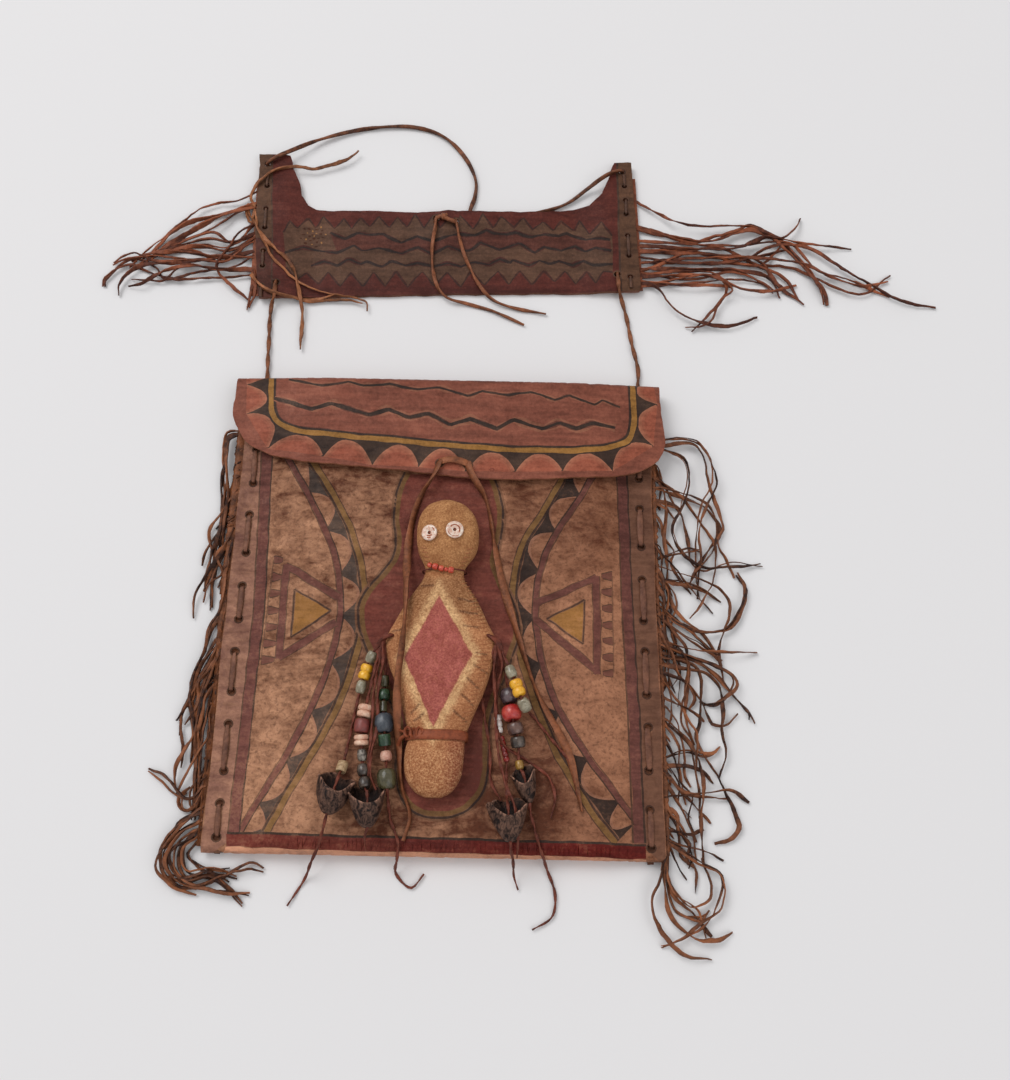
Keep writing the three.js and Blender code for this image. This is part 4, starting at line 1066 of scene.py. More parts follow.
HALO = route(
    "410,474 402,493 399,516 401,539 399,557 384,578 368,597 364,612 366,631 373,650 384,672 394,695"
    " 402,720 403,745 401,770 405,792 417,807 439,812 460,807 476,792 482,768 483,745 484,722 490,700"
    " 500,675 509,650 514,628 508,604 497,582 490,562 495,540 498,516 494,494 488,474")
EDGE_LINES = {
    -1: route("270,440 267,456 259,612 246,725 233,838"),
    1: route("620,452 622,481 628,622 634,733 639,843"),
}
BOTTOM_LINE = route("226,840 340,843 450,846 560,849 646,852")
CASE_STAINS_AND_PAINTED_LIGHT = (
    # darker and lighter places of the front: across, down, wide, tall and amount; stains and wear, and some
    # painted shadow and sheen
    # (440, 470) is painted shadow of the flap together with soil
    (440, 470, 240, 18, -0.4), (515, 520, 34, 80, -0.35), (390, 530, 34, 60, -0.2), (480, 780, 40, 30, -0.3),
    (345, 745, 20, 80, -0.35), (525, 800, 70, 40, -0.45), (395, 818, 44, 20, -0.4), (545, 740, 22, 90, -0.4),
    # (240, 800) is a painted sheen
    (297, 515, 30, 40, -0.1), (240, 800, 30, 60, 0.4), (285, 720, 50, 80, 0.45), (590, 522, 60, 52, -0.42),
    # (477, 760) is painted shadow of the doll
    (572, 622, 14, 20, 0.5), (477, 760, 10, 44, -0.5), (470, 830, 110, 14, -0.35), (236, 530, 14, 150, -0.25),
    # (330, 490) is painted shadow below the flap
    (650, 640, 24, 300, -0.3), (600, 720, 40, 60, 0.1), (330, 490, 60, 20, -0.25), (314, 812, 44, 28, 0.5),
    (300, 660, 30, 30, -0.1),
)


def nearest(line, point):
    return min(line, key=lambda p: (p[0] - point[0]) ** 2 + (p[1] - point[1]) ** 2)


def scallop(a, b, line, depth, span):
    """An arch standing on most of the chord from a to b and bulging toward a line."""
    middle = ((a[0] + b[0]) / 2, (a[1] + b[1]) / 2)
    peak = nearest(line, middle)
    points = []
    for k in range(17):
        side = k / 8 - 1
        out = (1 - abs(side) ** 2.2) * depth
        points.append([middle[i] + (b[i] - a[i]) * side / 2 * span + (peak[i] - middle[i]) * out
                       for i in (0, 1)])
    return points


def paint_arc(cut, way):
    """One side of the front: two arcs with toothed charcoal between them, and a stepped triangle."""
    arc = ARCS[way]
    purple, ochre = (flat_curve(on_front(arc[name])) for name in ("purple", "ochre"))
    cut.field(purple + ochre[::-1], dye(52, 50, 48, 0.85) if way < 0 else pigment("charcoal", 0.92))
    ends = [purple[0]] + [nearest(purple, tip) for tip in on_front(arc["tips"])] + [purple[-1]]
    for a, b in zip(ends, ends[1:]):
        for depth, span, wash in ((0.8, 1.0, 0.55), (0.7, 0.92, 0.0)):
            cut.field(scallop(a, b, ochre, depth, span), dye(150, 104, 82, wash))
    edges = ((2.3 * way, 1.3, 0.85, 0.7), (-1.8 * way, 0.8, 0.7, 0.0))
    cut.edged(ochre, 3.1, pigment("olive_ochre", 0.9), edges, 0.6)
    edges = ((-1.8 * way, 1.0, 0.85, 0.0), (1.8 * way, 0.8, 0.65, 0.0))
    cut.edged(purple, 3.0, pigment("purple", 0.95), edges, 0.6)
    for width, ink in ((4.9, pigment("charcoal", 0.65)), (3.8, pigment("purple", 0.95))):
        for bar in arc["bars"]:
            cut.stroke(flat_line(on_front(bar)), width, ink)
    gold = on_front(arc["gold"])
    cut.field(gold, pigment("gold", 0.95))
    for a, b in zip(gold, gold[1:] + gold[:1]):
        cut.stroke(flat_line([a, b], 2.0), 0.9, pigment("charcoal", 0.8), soft=0.6)
    for bar, tip, down in arc["teeth"]:
        for grow, ink in ((1.0, pigment("charcoal", 0.75)), (0.0, pigment("purple", 0.8))):
            tooth = [(bar, down - 1.6 - grow), (bar, down + 1.8 + grow)]
            tooth += [(tip, down + 4.4 + grow), (tip, down - 4.2 - grow)]
            cut.field(on_front(tooth), ink)
    edge = [(tip, down) for _, tip, down in arc["teeth"]]
    cut.stroke(flat_line(on_front(edge)), 0.8, pigment("charcoal", 0.45), 0.7)


def paint_front(cut):
    margins = {-1: dye(144, 103, 92, 0.45), 1: dye(108, 74, 58, 0.75)}
    lines = {side: flat_line(on_front(EDGE_LINES[side])) for side in margins}
    for side, line in lines.items():
        hem = side * (HALF - 0.4)
        cut.field(line + [(hem, line[-1][1] - 12), (hem, line[0][1])], margins[side])
    for side in lines:
        paint_arc(cut, side)
    halo = flat_curve(on_front(HALO))
    cut.stroke(beside(halo, -3.0), 4.2, dye(96, 66, 46, 0.5))
    cut.field(halo, pigment("dark_red", 0.95))
    cut.stroke(beside(halo, -1.4), 3.2, pigment("olive", 0.9))
    cut.stroke(beside(halo, -3.3), 1.2, pigment("charcoal", 0.85), soft=0.6)
    for line in lines.values():
        cut.edged(line, 6.0, pigment("purple", 0.97), ((3.3, 1.3, 0.85, 0.0), (-3.3, 1.2, 0.7, 0.0)))
    bottom = flat_line(on_front(BOTTOM_LINE))
    brown, red = dye(102, 42, 34), dye(96, 25, 19)
    cut.stroke(bottom, 6.8, (*brown[:3], 0.97), 0.1)
    for start, share in ((-20, 0.35), (20, 0.7), (60, 1.0)):
        cut.stroke([p for p in bottom if p[0] > start], 6.6, blend(brown, red, share), 0.1)
    cut.stroke(beside(bottom, 3.7), 1.3, pigment("charcoal", 0.9))
    fold = [(x, y - 3.6) for x, y in bottom]
    cut.field(fold + [(126, -172), (-126, -172)], dye(206, 146, 116, 0.9))


def make_case():
    step = 4.0
    width = [-HALF + step * k for k in range(round(2 * HALF / step) + 1)]
    width[-1] = HALF
    rows = [FRONT_END - step * k for k in range(1, round((FRONT_END - CASE_END) / step))]
    outline = [(x, CASE_END) for x in width] + [(HALF, v) for v in reversed(rows)]
    outline += [(x, FRONT_END) for x in reversed(width)] + [(-HALF, v) for v in rows]
    cut = HideCut(outline, BARE)
    paint_front(cut)
    for side, holes in HOLES.items():
        x = side * SEAM_X
        # a dark stroke under each stitch on the front: painted shade round the thong
        for y0, y1 in zip(holes[::2], holes[1::2]):
            cut.stroke(flat_line([(x, y0), (x, y1)]), 3.8, dye(64, 42, 33, 0.35), wobble=0.3)
        for i, y in enumerate(holes):
            y += 0.7 if i % 2 == 0 else -0.7
            cut.pierce(x, y, (5.8, 5.6), (4.2, 3.8), dye(44, 28, 22, 0.8))
            cut.oval(x, back_v(x, y), 3.6, 3.2, HOLE)
    fill = []
    for seed, low, high, step_x, step_y in (
            (11, -132, FRONT_END - 1, 3.4, 3.4), (12, -166, -132.5, 4.5, 1.3), (13, -424, -167, 7.0, 7.0),
            (14, CASE_END + 0.6, -424.5, 5.0, 1.2)):
        fill += jittered(-HALF + 1, HALF - 1, step_x, low, high, step_y, seed)
    # besides stains, the case's soil mark holds painted shadow of the flap and the doll and a painted sheen
    soil = stains_and_painted_light_on(front_top, CASE_STAINS_AND_PAINTED_LIGHT, unlean)
    data = cut.sheet("case_sheet", fill, place_case, HIDE, dye(112, 76, 54, 0.8), soil)
    settle(data, "rawhide", "rawhide", ["case"])


# The flap


FLAP_EDGE = route(
    "234,403 233,413 236,424 246,441 268,453 299,460 372,467 430,473 460,477 520,479 580,477 622,475"
    " 645,469 660,458 665,444 663,425 660,404")
FLAP_LINE = route(
    "271,366 271,394 272,411 279,423 296,430 340,435 402,441 455,446 522,450 580,450 612,447 629,439"
    " 634,423 633,398 632,374")
FLAP_TIPS = route(
    "243,368 247,385 246,414 268,449 323,456 372,465 419,467 466,471 515,472 563,471 613,471 654,446"
    " 657,404 652,380")
FLAP_ZIGZAGS = (
    (1.1, route(
        "289,379 323,386 349,382 364,386 390,384 419,390 438,387 469,396 482,391 509,395 531,392 556,400"
        " 569,395 595,405 603,400 620,407")),
    (1.9, route(
        "274,398 312,409 330,403 370,415 389,409 409,418 428,413 450,425 471,419 497,429 513,420 543,429"
        " 559,423 576,429 592,423 616,428")),
)
FLAP_HOLES = ((440, 463), (468, 465))
FLAP_SPOT = (492, 470)
FLAP_STAINS = (
    (300, 392, 50, 12, 0.35), (410, 418, 30, 10, 0.3), (620, 380, 40, 16, -0.25), (470, 380, 60, 10, -0.2),
    (520, 470, 60, 10, 0.25), (330, 468, 60, 10, 0.2), (560, 410, 60, 14, -0.2), (250, 440, 20, 14, 0.2),
)
FLAP_PLATE = HINGE_Y - FLAP_FOLD
FLAP_BEND = FLAP_FOLD * math.pi / 2
FLAP_SPINE = 6.0


def place_flap(x, v):
    """Folds the flap's flat cut: v is y on its face, then runs on round the fold and down to the hinge."""
    level = flap_top(x) - HIDE / 2
    if v <= FLAP_PLATE:
        wave = 0.35 * wander(x * 0.03, v * 0.03, 6.2)
        return Vector((x, v, level + wave * smooth(FLAP_PLATE - v, 0, 12)))
    angle = (v - FLAP_PLATE) / FLAP_FOLD
    if angle <= math.pi / 2:
        drop = FLAP_FOLD * (1 - math.cos(angle))
        return Vector((x, FLAP_PLATE + FLAP_FOLD * math.sin(angle), level - drop))
    share = (v - FLAP_PLATE - FLAP_BEND) / FLAP_SPINE
    low = HINGE_Z - HIDE * 0.58
    return Vector((x, HINGE_Y, lerp(level - FLAP_FOLD, low, share)))


def paint_flap(cut):
    line = flat_curve(laid_on(flap_top, FLAP_LINE))
    tips = laid_on(flap_top, FLAP_TIPS)
    cut.field(line + tips[::-1], pigment("charcoal", 0.9))
    for a, b in zip(tips, tips[1:]):
        for depth, span, wash in ((0.84, 1.0, 0.5), (0.77, 0.94, 0.3), (0.66, 0.86, 0.14), (0.54, 0.76, 0.0)):
            shade = blend(dye(142, 76, 57, 0.97), dye(164, 114, 88, 0.97), wash)
            cut.field(scallop(a, b, line, depth, span), shade)
    cut.edged(line, 3.4, pigment("ochre", 0.96), ((2.2, 1.7, 0.92, 0.6), (-2.0, 1.4, 0.92, 0.0)))
    for width, points in FLAP_ZIGZAGS:
        zigzag = flat_line(laid_on(flap_top, points), 2.0)
        cut.stroke(zigzag, width * 2.6, dye(132, 82, 63, 0.9), 0.9, seed=2.0)
        cut.stroke(zigzag, width * 1.25, pigment("charcoal", 0.94), 0.5, soft=0.5)
    for x, y in laid_on(flap_top, FLAP_HOLES):
        cut.pierce(x, y, (6.2, 6.0), (4.6, 4.3), dye(60, 38, 30, 0.8))
    (x, y), = laid_on(flap_top, [FLAP_SPOT])
    for turn in (1.05 * k for k in range(6)):
        cut.oval(x + 1.2 * math.cos(turn), y + 1.0 * math.sin(turn), 1.2, 1.0, dye(104, 34, 28, 0.8))


def make_flap():
    step = 2.0
    end = FLAP_PLATE + FLAP_BEND + FLAP_SPINE
    edge = [hand(p, 0.5, 0.2) for p in flat_curve(laid_on(flap_top, FLAP_EDGE), 3.0)]
    left, right = edge[0][0] + 0.6, edge[-1][0] - 0.4
    rows = [end - step * k for k in range(1, 26)]
    outline = [(left, v) for v in rows if v > edge[0][1] + 1] + edge
    outline += [(right, v) for v in reversed(rows) if v > edge[-1][1] + 1]
    outline += [(lerp(right, left, k / 60), end) for k in range(61)]
    cut = HideCut(outline, pigment("red", 0.97))
    paint_flap(cut)
    fill = jittered(-133, 133, 3.6, 75, FLAP_PLATE, 3.6, 21)
    fill += jittered(-133, 133, 4.5, FLAP_PLATE + 0.3, end - 0.6, 1.2, 22)
    soil = stains_and_painted_light_on(flap_top, FLAP_STAINS)
    data = cut.sheet("flap_sheet", fill, place_flap, HIDE, dye(150, 96, 72, 0.8), soil)
    settle(data, "flap_hide", "flap_hide", ["flap"], "flap")


# The carrying band


BAND_EDGE = route(
    "260,154 290,155 294,170 300,183 302,195 308,205 318,210 330,211 380,211 440,210.5 500,211 545,212"
    " 575,210 590,205 602,193 608,180 613,163 631,162 635,215 641,291 540,293 446,294 350,296 300,297"
    " 258,297 255,230")
BAND_PEAKS = route(
    "283,232 290,221 297,229 308,218 316,228 324,216 334,229 344,219 352,229 361,217 370,227 379,216"
    " 389,228 398,217 407,228 415,214 424,228 433,216 441,228 450,217 456,229 460,215 473,229 483,213"
    " 493,228 501,216 514,227 523,217 533,229 543,221 554,231 561,221 574,231 580,221 590,235 602,221"
    " 612,236")
BAND_FEET = route(
    "613,272 604,271 596,283 587,271 575,284 565,271 555,282 544,271 532,285 520,271 509,285 498,271"
    " 485,285 471,271 461,287 447,272 434,286 422,271 408,287 396,271 385,286 374,272 363,287 351,273"
    " 340,286 328,272 319,284 306,273 296,280 286,268")
BAND_ZIGZAGS = (
    route(
        "330,233 345,239 358,233 369,235 383,234 401,243 417,236 434,241 447,236 461,234 476,235 486,230"
        " 493,233 506,234 516,232 531,237 545,234 558,236 566,233 586,240 600,238 610,240"),
    route(
        "284,253 304,247 320,251 337,253 354,245 363,251 379,248 401,254 418,247 432,254 448,246 461,251"
        " 471,250 480,242 499,250 520,242 534,253 544,247 562,251 575,246 586,252 596,248 611,251"),
    route(
        "310,266 324,261 337,266 349,259 361,264 367,261 382,267 391,261 406,266 418,263 435,267 448,263"
        " 461,267 474,262 489,265 500,259 510,263 513,260 530,266 539,261 549,264 559,261 573,266"
        " 583,261 594,265 613,264"),
)
BAND_ENDS = routes("257,150 272,152 272,300 251,300", "617,158 634,158 644,294 622,294")
BAND_CORNER = route("251,238 273,238 274,300 250,300")
BAND_SPOT = (314, 236)
BAND_HOLES = {
    "horns": ((-121, 70), (120.5, 60)),
    "corners": ((-111, -23.5), (113, -21)),
    "middle": ((-6, 24.5), (7, 21.5)),
}
BAND_STOPS = {-1: (52, 34, 19, 1, -11, -26), 1: (48, 37, 26, 9, -7, -23)}
BAND_LACE = {-1: -120.5, 1: 121.5}
BAND_STAINS = (
    (320, 226, 24, 16, 0.4), (300, 180, 20, 40, 0.1), (500, 240, 120, 20, -0.1), (400, 262, 80, 20, -0.2),
    (450, 291, 260, 10, -0.5),
)


def place_band(x, y):
    wave = 0.3 * wander(x * 0.02, y * 0.03, 8.8)
    return Vector((x, y, band_top(x, y) - BAND_THICK / 2 + max(0.0, wave)))


def paint_band(cut):
    face = lambda points: laid_on(band_top, points)
    cut.field(face(BAND_PEAKS + BAND_FEET), pigment("band_tan"))
    first, second = (face(points) for points in BAND_ZIGZAGS[:2])
    cut.field(first + second[::-1][:-3], dye(84, 46, 37))
    for points in (BAND_PEAKS, BAND_FEET):
        cut.stroke(flat_line(face(points), 2.0), 0.8, dye(54, 36, 30), 0.7, soft=0.6)
    for points in BAND_ZIGZAGS:
        cut.stroke(flat_line(face(points), 2.0), 1.7, dye(46, 34, 30), 0.8, soft=0.7)
    for points in BAND_ENDS:
        cut.field(face(points), pigment("band_end"))
    cut.field(face(BAND_CORNER), dye(76, 40, 31))
    cut.stroke(flat_line(face([(272, 154), (272, 298)])), 0.9, pigment("charcoal", 0.8))
    cut.stroke(flat_line(face([(617, 162), (621, 292)])), 1.3, pigment("charcoal", 0.85))
    (x, y), = face([BAND_SPOT])
    for k in range(26):
        angle, reach = 2.4 * k, 1.5 * k ** 0.55
        rust = dye(64, 34, 20) if k % 3 else dye(140, 98, 58)
        spot = x + reach * math.cos(angle), y + reach * math.sin(angle)
        wide, high = 1.2 + k % 3 * 0.6, 1.8 - k % 2 * 0.8
        cut.oval(*spot, wide, high, rust, sides=7, wobble=0.8)
    rim = dye(40, 28, 24, 0.8)
    for hole in (h for pair in BAND_HOLES.values() for h in pair):
        cut.pierce(*on_band(*hole, 0).xy, (6.0, 5.8), (4.4, 4.2), rim)
    for side, stops in BAND_STOPS.items():
        for stop in stops:
            cut.pierce(*on_band(BAND_LACE[side], stop, 0).xy, (5.2, 4.8), (3.6, 3.2), rim)


def make_band():
    edge = flat_line(laid_on(band_top, BAND_EDGE + BAND_EDGE[:1]), 3.0)[:-1]
    cut = HideCut([hand(p, 0.6, 0.16) for p in edge][::-1], pigment("band_red"))
    paint_band(cut)
    fill = jittered(-140, 125, 4.0, 205, 332, 4.0, 31)
    soil = stains_and_painted_light_on(band_top, BAND_STAINS)
    data = cut.sheet("band_sheet", fill, place_band, BAND_THICK, dye(96, 58, 46, 0.8), soil)
    settle(data, "band_hide", "band_hide", ["carrying_band"])


# Lacing


def running_stitch(stops, front, levels, place, width, draw):
    """A flat thong in running stitch; place puts a point given along and up into the part."""
    build = Build()
    tail = 9.0
    way = math.copysign(1, stops[1] - stops[0])
    line = [(stops[0] - way * tail, levels[front])]
    for stop in stops:
        line += [(stop, levels[front]), (stop, levels[not front])]
        front = not front
    line.append((stops[-1] + way * tail, levels[front]))
    points = [place(draw.uniform(-0.3, 0.3), along, level) for along, level in line]
    path = rounded(points, 1.3, 5)
    fine = []
    for a, b in zip(path, path[1:]):
        parts = max(1, round((b - a).length / 2.5))
        fine.extend(a.lerp(b, k / parts) for k in range(parts))
    fine.append(path[-1])
    phase = draw.uniform(0, 50)
    holes = [place(0, stop, 0).xy for stop in stops]
    pinched = [lerp(0.66, 1.0, smooth(min((p.xy - hole).length for hole in holes), 0.5, 7)) for p in fine]

    def scale(share):
        return pinched[round(share * (len(fine) - 1))] * (1 + 0.14 * wander(share * 60 + phase, 0.5, 0))

    twist = lambda share: 0.25 * wander(share * 40 + phase, 7.5, 0)
    tone = lambda share: 0.42 + 0.4 * wander(share * 50, phase, 0)
    side = (place(1, 0, 0) - place(0, 0, 0)).normalized()
    build.tube(fine, oval(width, 1.15, 10), side=side, scale=scale, twist=twist, tone=tone)
    return build


def make_lacing():
    width = size_of("thong_width")
    seam_levels = {True: SEAM_TOP + 0.85, False: SEAM_LIFT - 0.8}
    band_levels = {True: BAND_LIFT + BAND_THICK + 0.85, False: 0.75}
    draw = random.Random(41)
    for side, name in SIDES:

        def on_seam(across, along, level):
            return Vector((side * SEAM_X + lean(side * SEAM_X, along) + across, along, level))

        def on_end(across, along, level):
            return on_band(BAND_LACE[side] + across, along, level)

        broad = width * (1.45 if side > 0 else 1.25)
        seam = running_stitch(HOLES[side], False, seam_levels, on_seam, broad, draw)
        seam.piece(f"side_lacing_{name}", "lacing_thong")
        end = running_stitch(BAND_STOPS[side], True, band_levels, on_end, width * 0.85, draw)
        end.piece(f"band_lacing_{name}", "dark_thong")


# Fringes


SIDE_STRANDS = {
    -1: routes(
        "236,424 229,437 224,470 221,490 222,515 213,550 204,580 203,588",
        "236,428 231,440 227,475 228,497 223,525 218,547",
        "238,470 232,485 226,515 218,547",
        "238,480 233,500 228,540 215,570 209,609",
        "237,500 230,545 225,565 219,592",
        "236,520 228,560 216,586",
        "235,540 229,575 222,605 209,630 206,645 193,675 188,700 193,728 190,762",
        "226,632 213,645 197,672 190,705 196,745 193,800",
        "224,640 200,668 189,700 182,712 175,719",
        "224,650 205,690 197,725 195,780 190,820",
        "222,668 208,705 201,745 196,800 192,815",
        "221,690 209,725 205,765 197,820",
        "219,715 209,755 203,800 202,815",
        "231,590 222,640 211,668 203,700 199,742",
        "229,612 214,655 203,680 195,708 192,740",
        "216,742 207,770 199,806 190,812",
        "214,760 200,790 188,799 178,791 163,775 147,768",
        "212,776 200,797 190,809 180,808 178,798 190,787",
        "209,812 180,824 163,845 159,857 166,878 185,880 212,876 230,890 241,904",
        "208,820 176,838 165,862 176,880 205,888 230,893 248,893",
        "207,827 178,845 175,870 195,885 222,876 250,868 262,872",
        "206,834 183,850 186,870 215,868 236,876",
        "206,838 186,855 203,866 228,872",
        "207,830 170,855 180,878 210,872 228,882",
        "208,806 172,832 160,862 172,884 196,890",
    ),
    1: routes(
        "662,438 692,440 707,455 716,478 717,487 707,507 699,530 700,560 698,598",
        "662,450 690,444 702,455 709,485 720,517 723,528 718,540 728,563 735,577",
        "662,446 685,460 689,485 681,508 671,533 682,554 704,567 733,567 762,562",
        "662,468 665,495 665,530 668,565 668,592 680,615 703,633 718,655",
        "662,476 682,498 700,520 713,540 717,553 712,585 698,608 690,617",
        "660,488 672,493 706,508 722,530 708,550 694,575 689,584",
        "660,500 668,503 680,507",
        "660,545 676,570 690,588 713,612",
        "660,560 690,552 700,547",
        "660,566 700,580 722,592 730,607 719,650 724,680",
        "660,578 693,588 718,598",
        "660,612 700,632 730,628 744,598 744,585 738,572",
        "660,604 684,626 700,640 718,655",
        "660,616 682,634 702,645 722,662",
        "660,640 700,652 735,652 758,652",
        "660,645 705,662 728,672 737,686 718,701 705,704",
        "660,652 700,664 715,675 735,697 752,715 756,722",
        "660,672 688,684 700,700 715,724 725,724 738,712",
        "660,640 684,656 688,686 685,715 695,745",
        "660,656 697,670 700,720 697,740 720,780 735,812 740,828 730,840 715,843",
        "660,664 710,676 722,695 722,730 726,752 720,778",
        "661,696 695,713 705,720",
        "661,716 690,745 702,775 701,825 705,865",
        "662,766 700,770 714,783",
        "662,758 690,750 710,753 720,746",
        "662,770 684,790 710,798 731,799",
        "662,797 705,793 733,791 750,802",
        "662,772 690,800 711,822",
        "662,780 688,820 698,860",
        "663,830 690,834 705,828",
        "663,838 685,846 708,852 725,860",
        "663,842 700,862 722,878 718,903 705,925 672,943 662,948",
        "663,846 661,876 652,900 660,930 680,952 712,960",
        "663,848 664,884 672,918 695,939 720,939 733,931",
        "664,848 668,886 680,915 700,916 709,913",
        "664,844 670,884 692,908 710,899 711,885 703,858",
        "664,836 684,850 697,870 696,893",
        "664,840 677,864 688,880",
        "664,850 672,892 695,915 713,937",
    ),
}
BAND_STRANDS = {
    -1: routes(
        "258,190 240,200 215,203 193,214 165,236 140,254",
        "257,203 245,207 220,214 190,222 165,238 152,250",
        "257,206 240,211 215,219 192,232 155,250",
        "256,222 240,233 228,252 217,268 232,288 250,300",
        "256,232 235,243 208,239 172,247 155,251",
        "256,240 222,258 190,260 155,256 125,260 112,263",
        "256,250 225,258 185,263 135,268 119,285 118,294",
        "256,268 218,270 185,267 160,273 140,285 127,285",
        "256,274 210,277 172,278 150,271 128,264 103,278 101,285",
        "256,256 220,258 190,254 150,254 130,260",
        "256,236 230,250 196,246 162,252 138,262",
        "256,284 250,296 246,308",
    ),
    1: routes(
        "636,200 655,213 675,225 710,228 750,228 786,242 820,246 852,247",
        "637,228 690,240 712,242 735,233 755,231 785,245 810,272 825,293 828,304",
        "638,245 690,250 735,250 765,240 782,240 795,228 800,217",
        "638,250 700,255 755,258 785,248",
        "638,256 690,264 740,262 775,247 810,250 835,265 862,280 905,302 937,306",
        "638,262 700,258 760,261 800,265 830,278 862,287 888,280",
        "639,268 690,270 735,270 768,278 780,297",
        "639,274 695,278 735,272 765,283 775,290",
        "640,282 655,288 673,308 700,323 730,326 758,316",
        "639,272 715,275 726,287 720,303 705,318 692,330",
        "639,276 715,278 740,291 772,291 797,284",
        "638,252 720,254 760,262 778,284 805,303",
        "638,240 730,246 790,245 815,270 850,280 890,296",
        "640,280 700,287 733,284",
    ),
}
OVER_BAND = routes(
    "251,205 250,194 258,184 272,172 295,166 314,167 330,163 347,157 358,149",
    "250,207 252,214 260,231 275,249 290,262 296,275 299,290 302,318 300,346",
    "250,209 257,227 270,252 285,270 300,282 322,290 355,295 365,299 366,308",
    "247,271 260,284 275,292 304,297 316,296 335,292",
    "247,273 262,287 280,294 305,298 340,296 362,300",
    "252,204 247,200 245,205 246,213 251,219 254,214",
    "253,202 248,204 248,211 253,216",
)
STRAND_LOW = 0.75
FRINGE_LOW, FRINGE_HIGH = -TOP + 3.6, TOP - 32
BAND_ENDS_AT = {-1: 125.5, 1: 127.0}


def strand(build, points, draw, width, thick, shade=None):
    """One cut strand: uneven, twisted as it dried and cut off blunt."""
    line = curved(points, 2.2)
    phase = draw.uniform(0, 90)
    for p in line[2:]:
        sway = drift(p.x * 0.07 + phase, p.y * 0.07, 1.0)
        kink = drift(p.x * 0.22, p.y * 0.22 + phase, 3.0)
        p.x += 0.9 * sway.x + 0.5 * kink.x
        p.y += 0.9 * sway.y + 0.5 * kink.y
    total = length_of(line)
    turns = total / draw.uniform(45, 160) * draw.choice((-1, 1))
    broad = draw.uniform(0.68, 1.2)
    tint = draw.uniform(-0.15, 0.65) if shade is None else shade
    along = lambda share, grain, layer: wander(share * total * grain, phase, layer)

    def scale(share):
        lumps = 0.36 * along(share, 0.07, 2) + 0.2 * along(share, 0.3, 6)
        return broad * (1 + lumps) * lerp(1, 0.6, smooth(share, 0.88, 1))

    twist = lambda share: 1.6 + 2 * math.pi * turns * share + 2.2 * along(share, 0.03, 5)
    tone = lambda share: clamp(tint + 1.1 * along(share, 0.045, 8), -0.2, 1.3)
    build.tube(line, oval(width, thick, 8, 0.7), side=(0.3, 0.2, 1), twist=twist, scale=scale, tone=tone)


def settled(points, draw, root_z, lowest=STRAND_LOW):
    """Heights for a strand that leaves at its root's height and comes down to lie on the ground."""
    layer = draw.uniform(0, 5.5)
    made = []
    for i, (x, y) in enumerate(points):
        share = i / (len(points) - 1)
        z = lerp(root_z, lowest + layer * (1 - 0.6 * share), smooth(share, 0, 0.35))
        made.append(Vector((x, y, z + (draw.uniform(0, 1.6) if i else 0.0))))
    made[-1].z = lowest + draw.uniform(0, 0.6)
    return made


def fringe_edge(side, y):
    """How far out the strands of a side fringe leave the seam."""
    return HALF + (0.5 if side > 0 else 1.3) + lean(side * HALF, y)


def heading_roll(side, y):
    """Half the thickness of the heading's rolled edge."""
    return (1.25 if side < 0 else 0.8) * (1 + 0.4 * wander(y * 0.3, side, 4))


def make_side_heading(side, name):
    """The strip that the strands are cut from: flat in the seam, torn and rolled where it comes out."""
    inner = HALF - MARGIN + 1.4
    reach = 3.8 if side < 0 else 2.2
    steps = 380
    rings, tones = [], []
    for k in range(steps + 1):
        y = lerp(FRINGE_HIGH, FRINGE_LOW, k / steps)
        torn = 0.9 * wander(y * 0.11, side, 7) + wander(y * 0.45, side, 2)
        shrink = lerp(0.45, 1.0, smooth(y, -70, 20)) if side < 0 else 1.0
        near, outer = fringe_edge(side, y) + 0.4, fringe_edge(side, y) + (reach + torn) * shrink
        crest = lerp(near, outer, 0.5)
        curl = 0.5 * wander(y * 0.14, side, 9)
        roll = heading_roll(side, y)
        ring = ((inner, -0.5), (near, -0.4), (crest, curl - roll), (outer, curl - 0.4 * roll),
                (outer, curl + 0.4 * roll), (crest, curl + roll), (near, 0.4), (inner, 0.5))
        rings.append([Vector((side * x, y, FRINGE_LEVEL + z)) for x, z in ring])
        tones.append(0.5 + 0.8 * wander(y * 0.12, 3, side))
    build = Build()
    build.loft(rings if side < 0 else [ring[::-1] for ring in rings], tones)
    build.piece(f"{name}_heading", "heading_thong", nodes=[name], sharp=70)


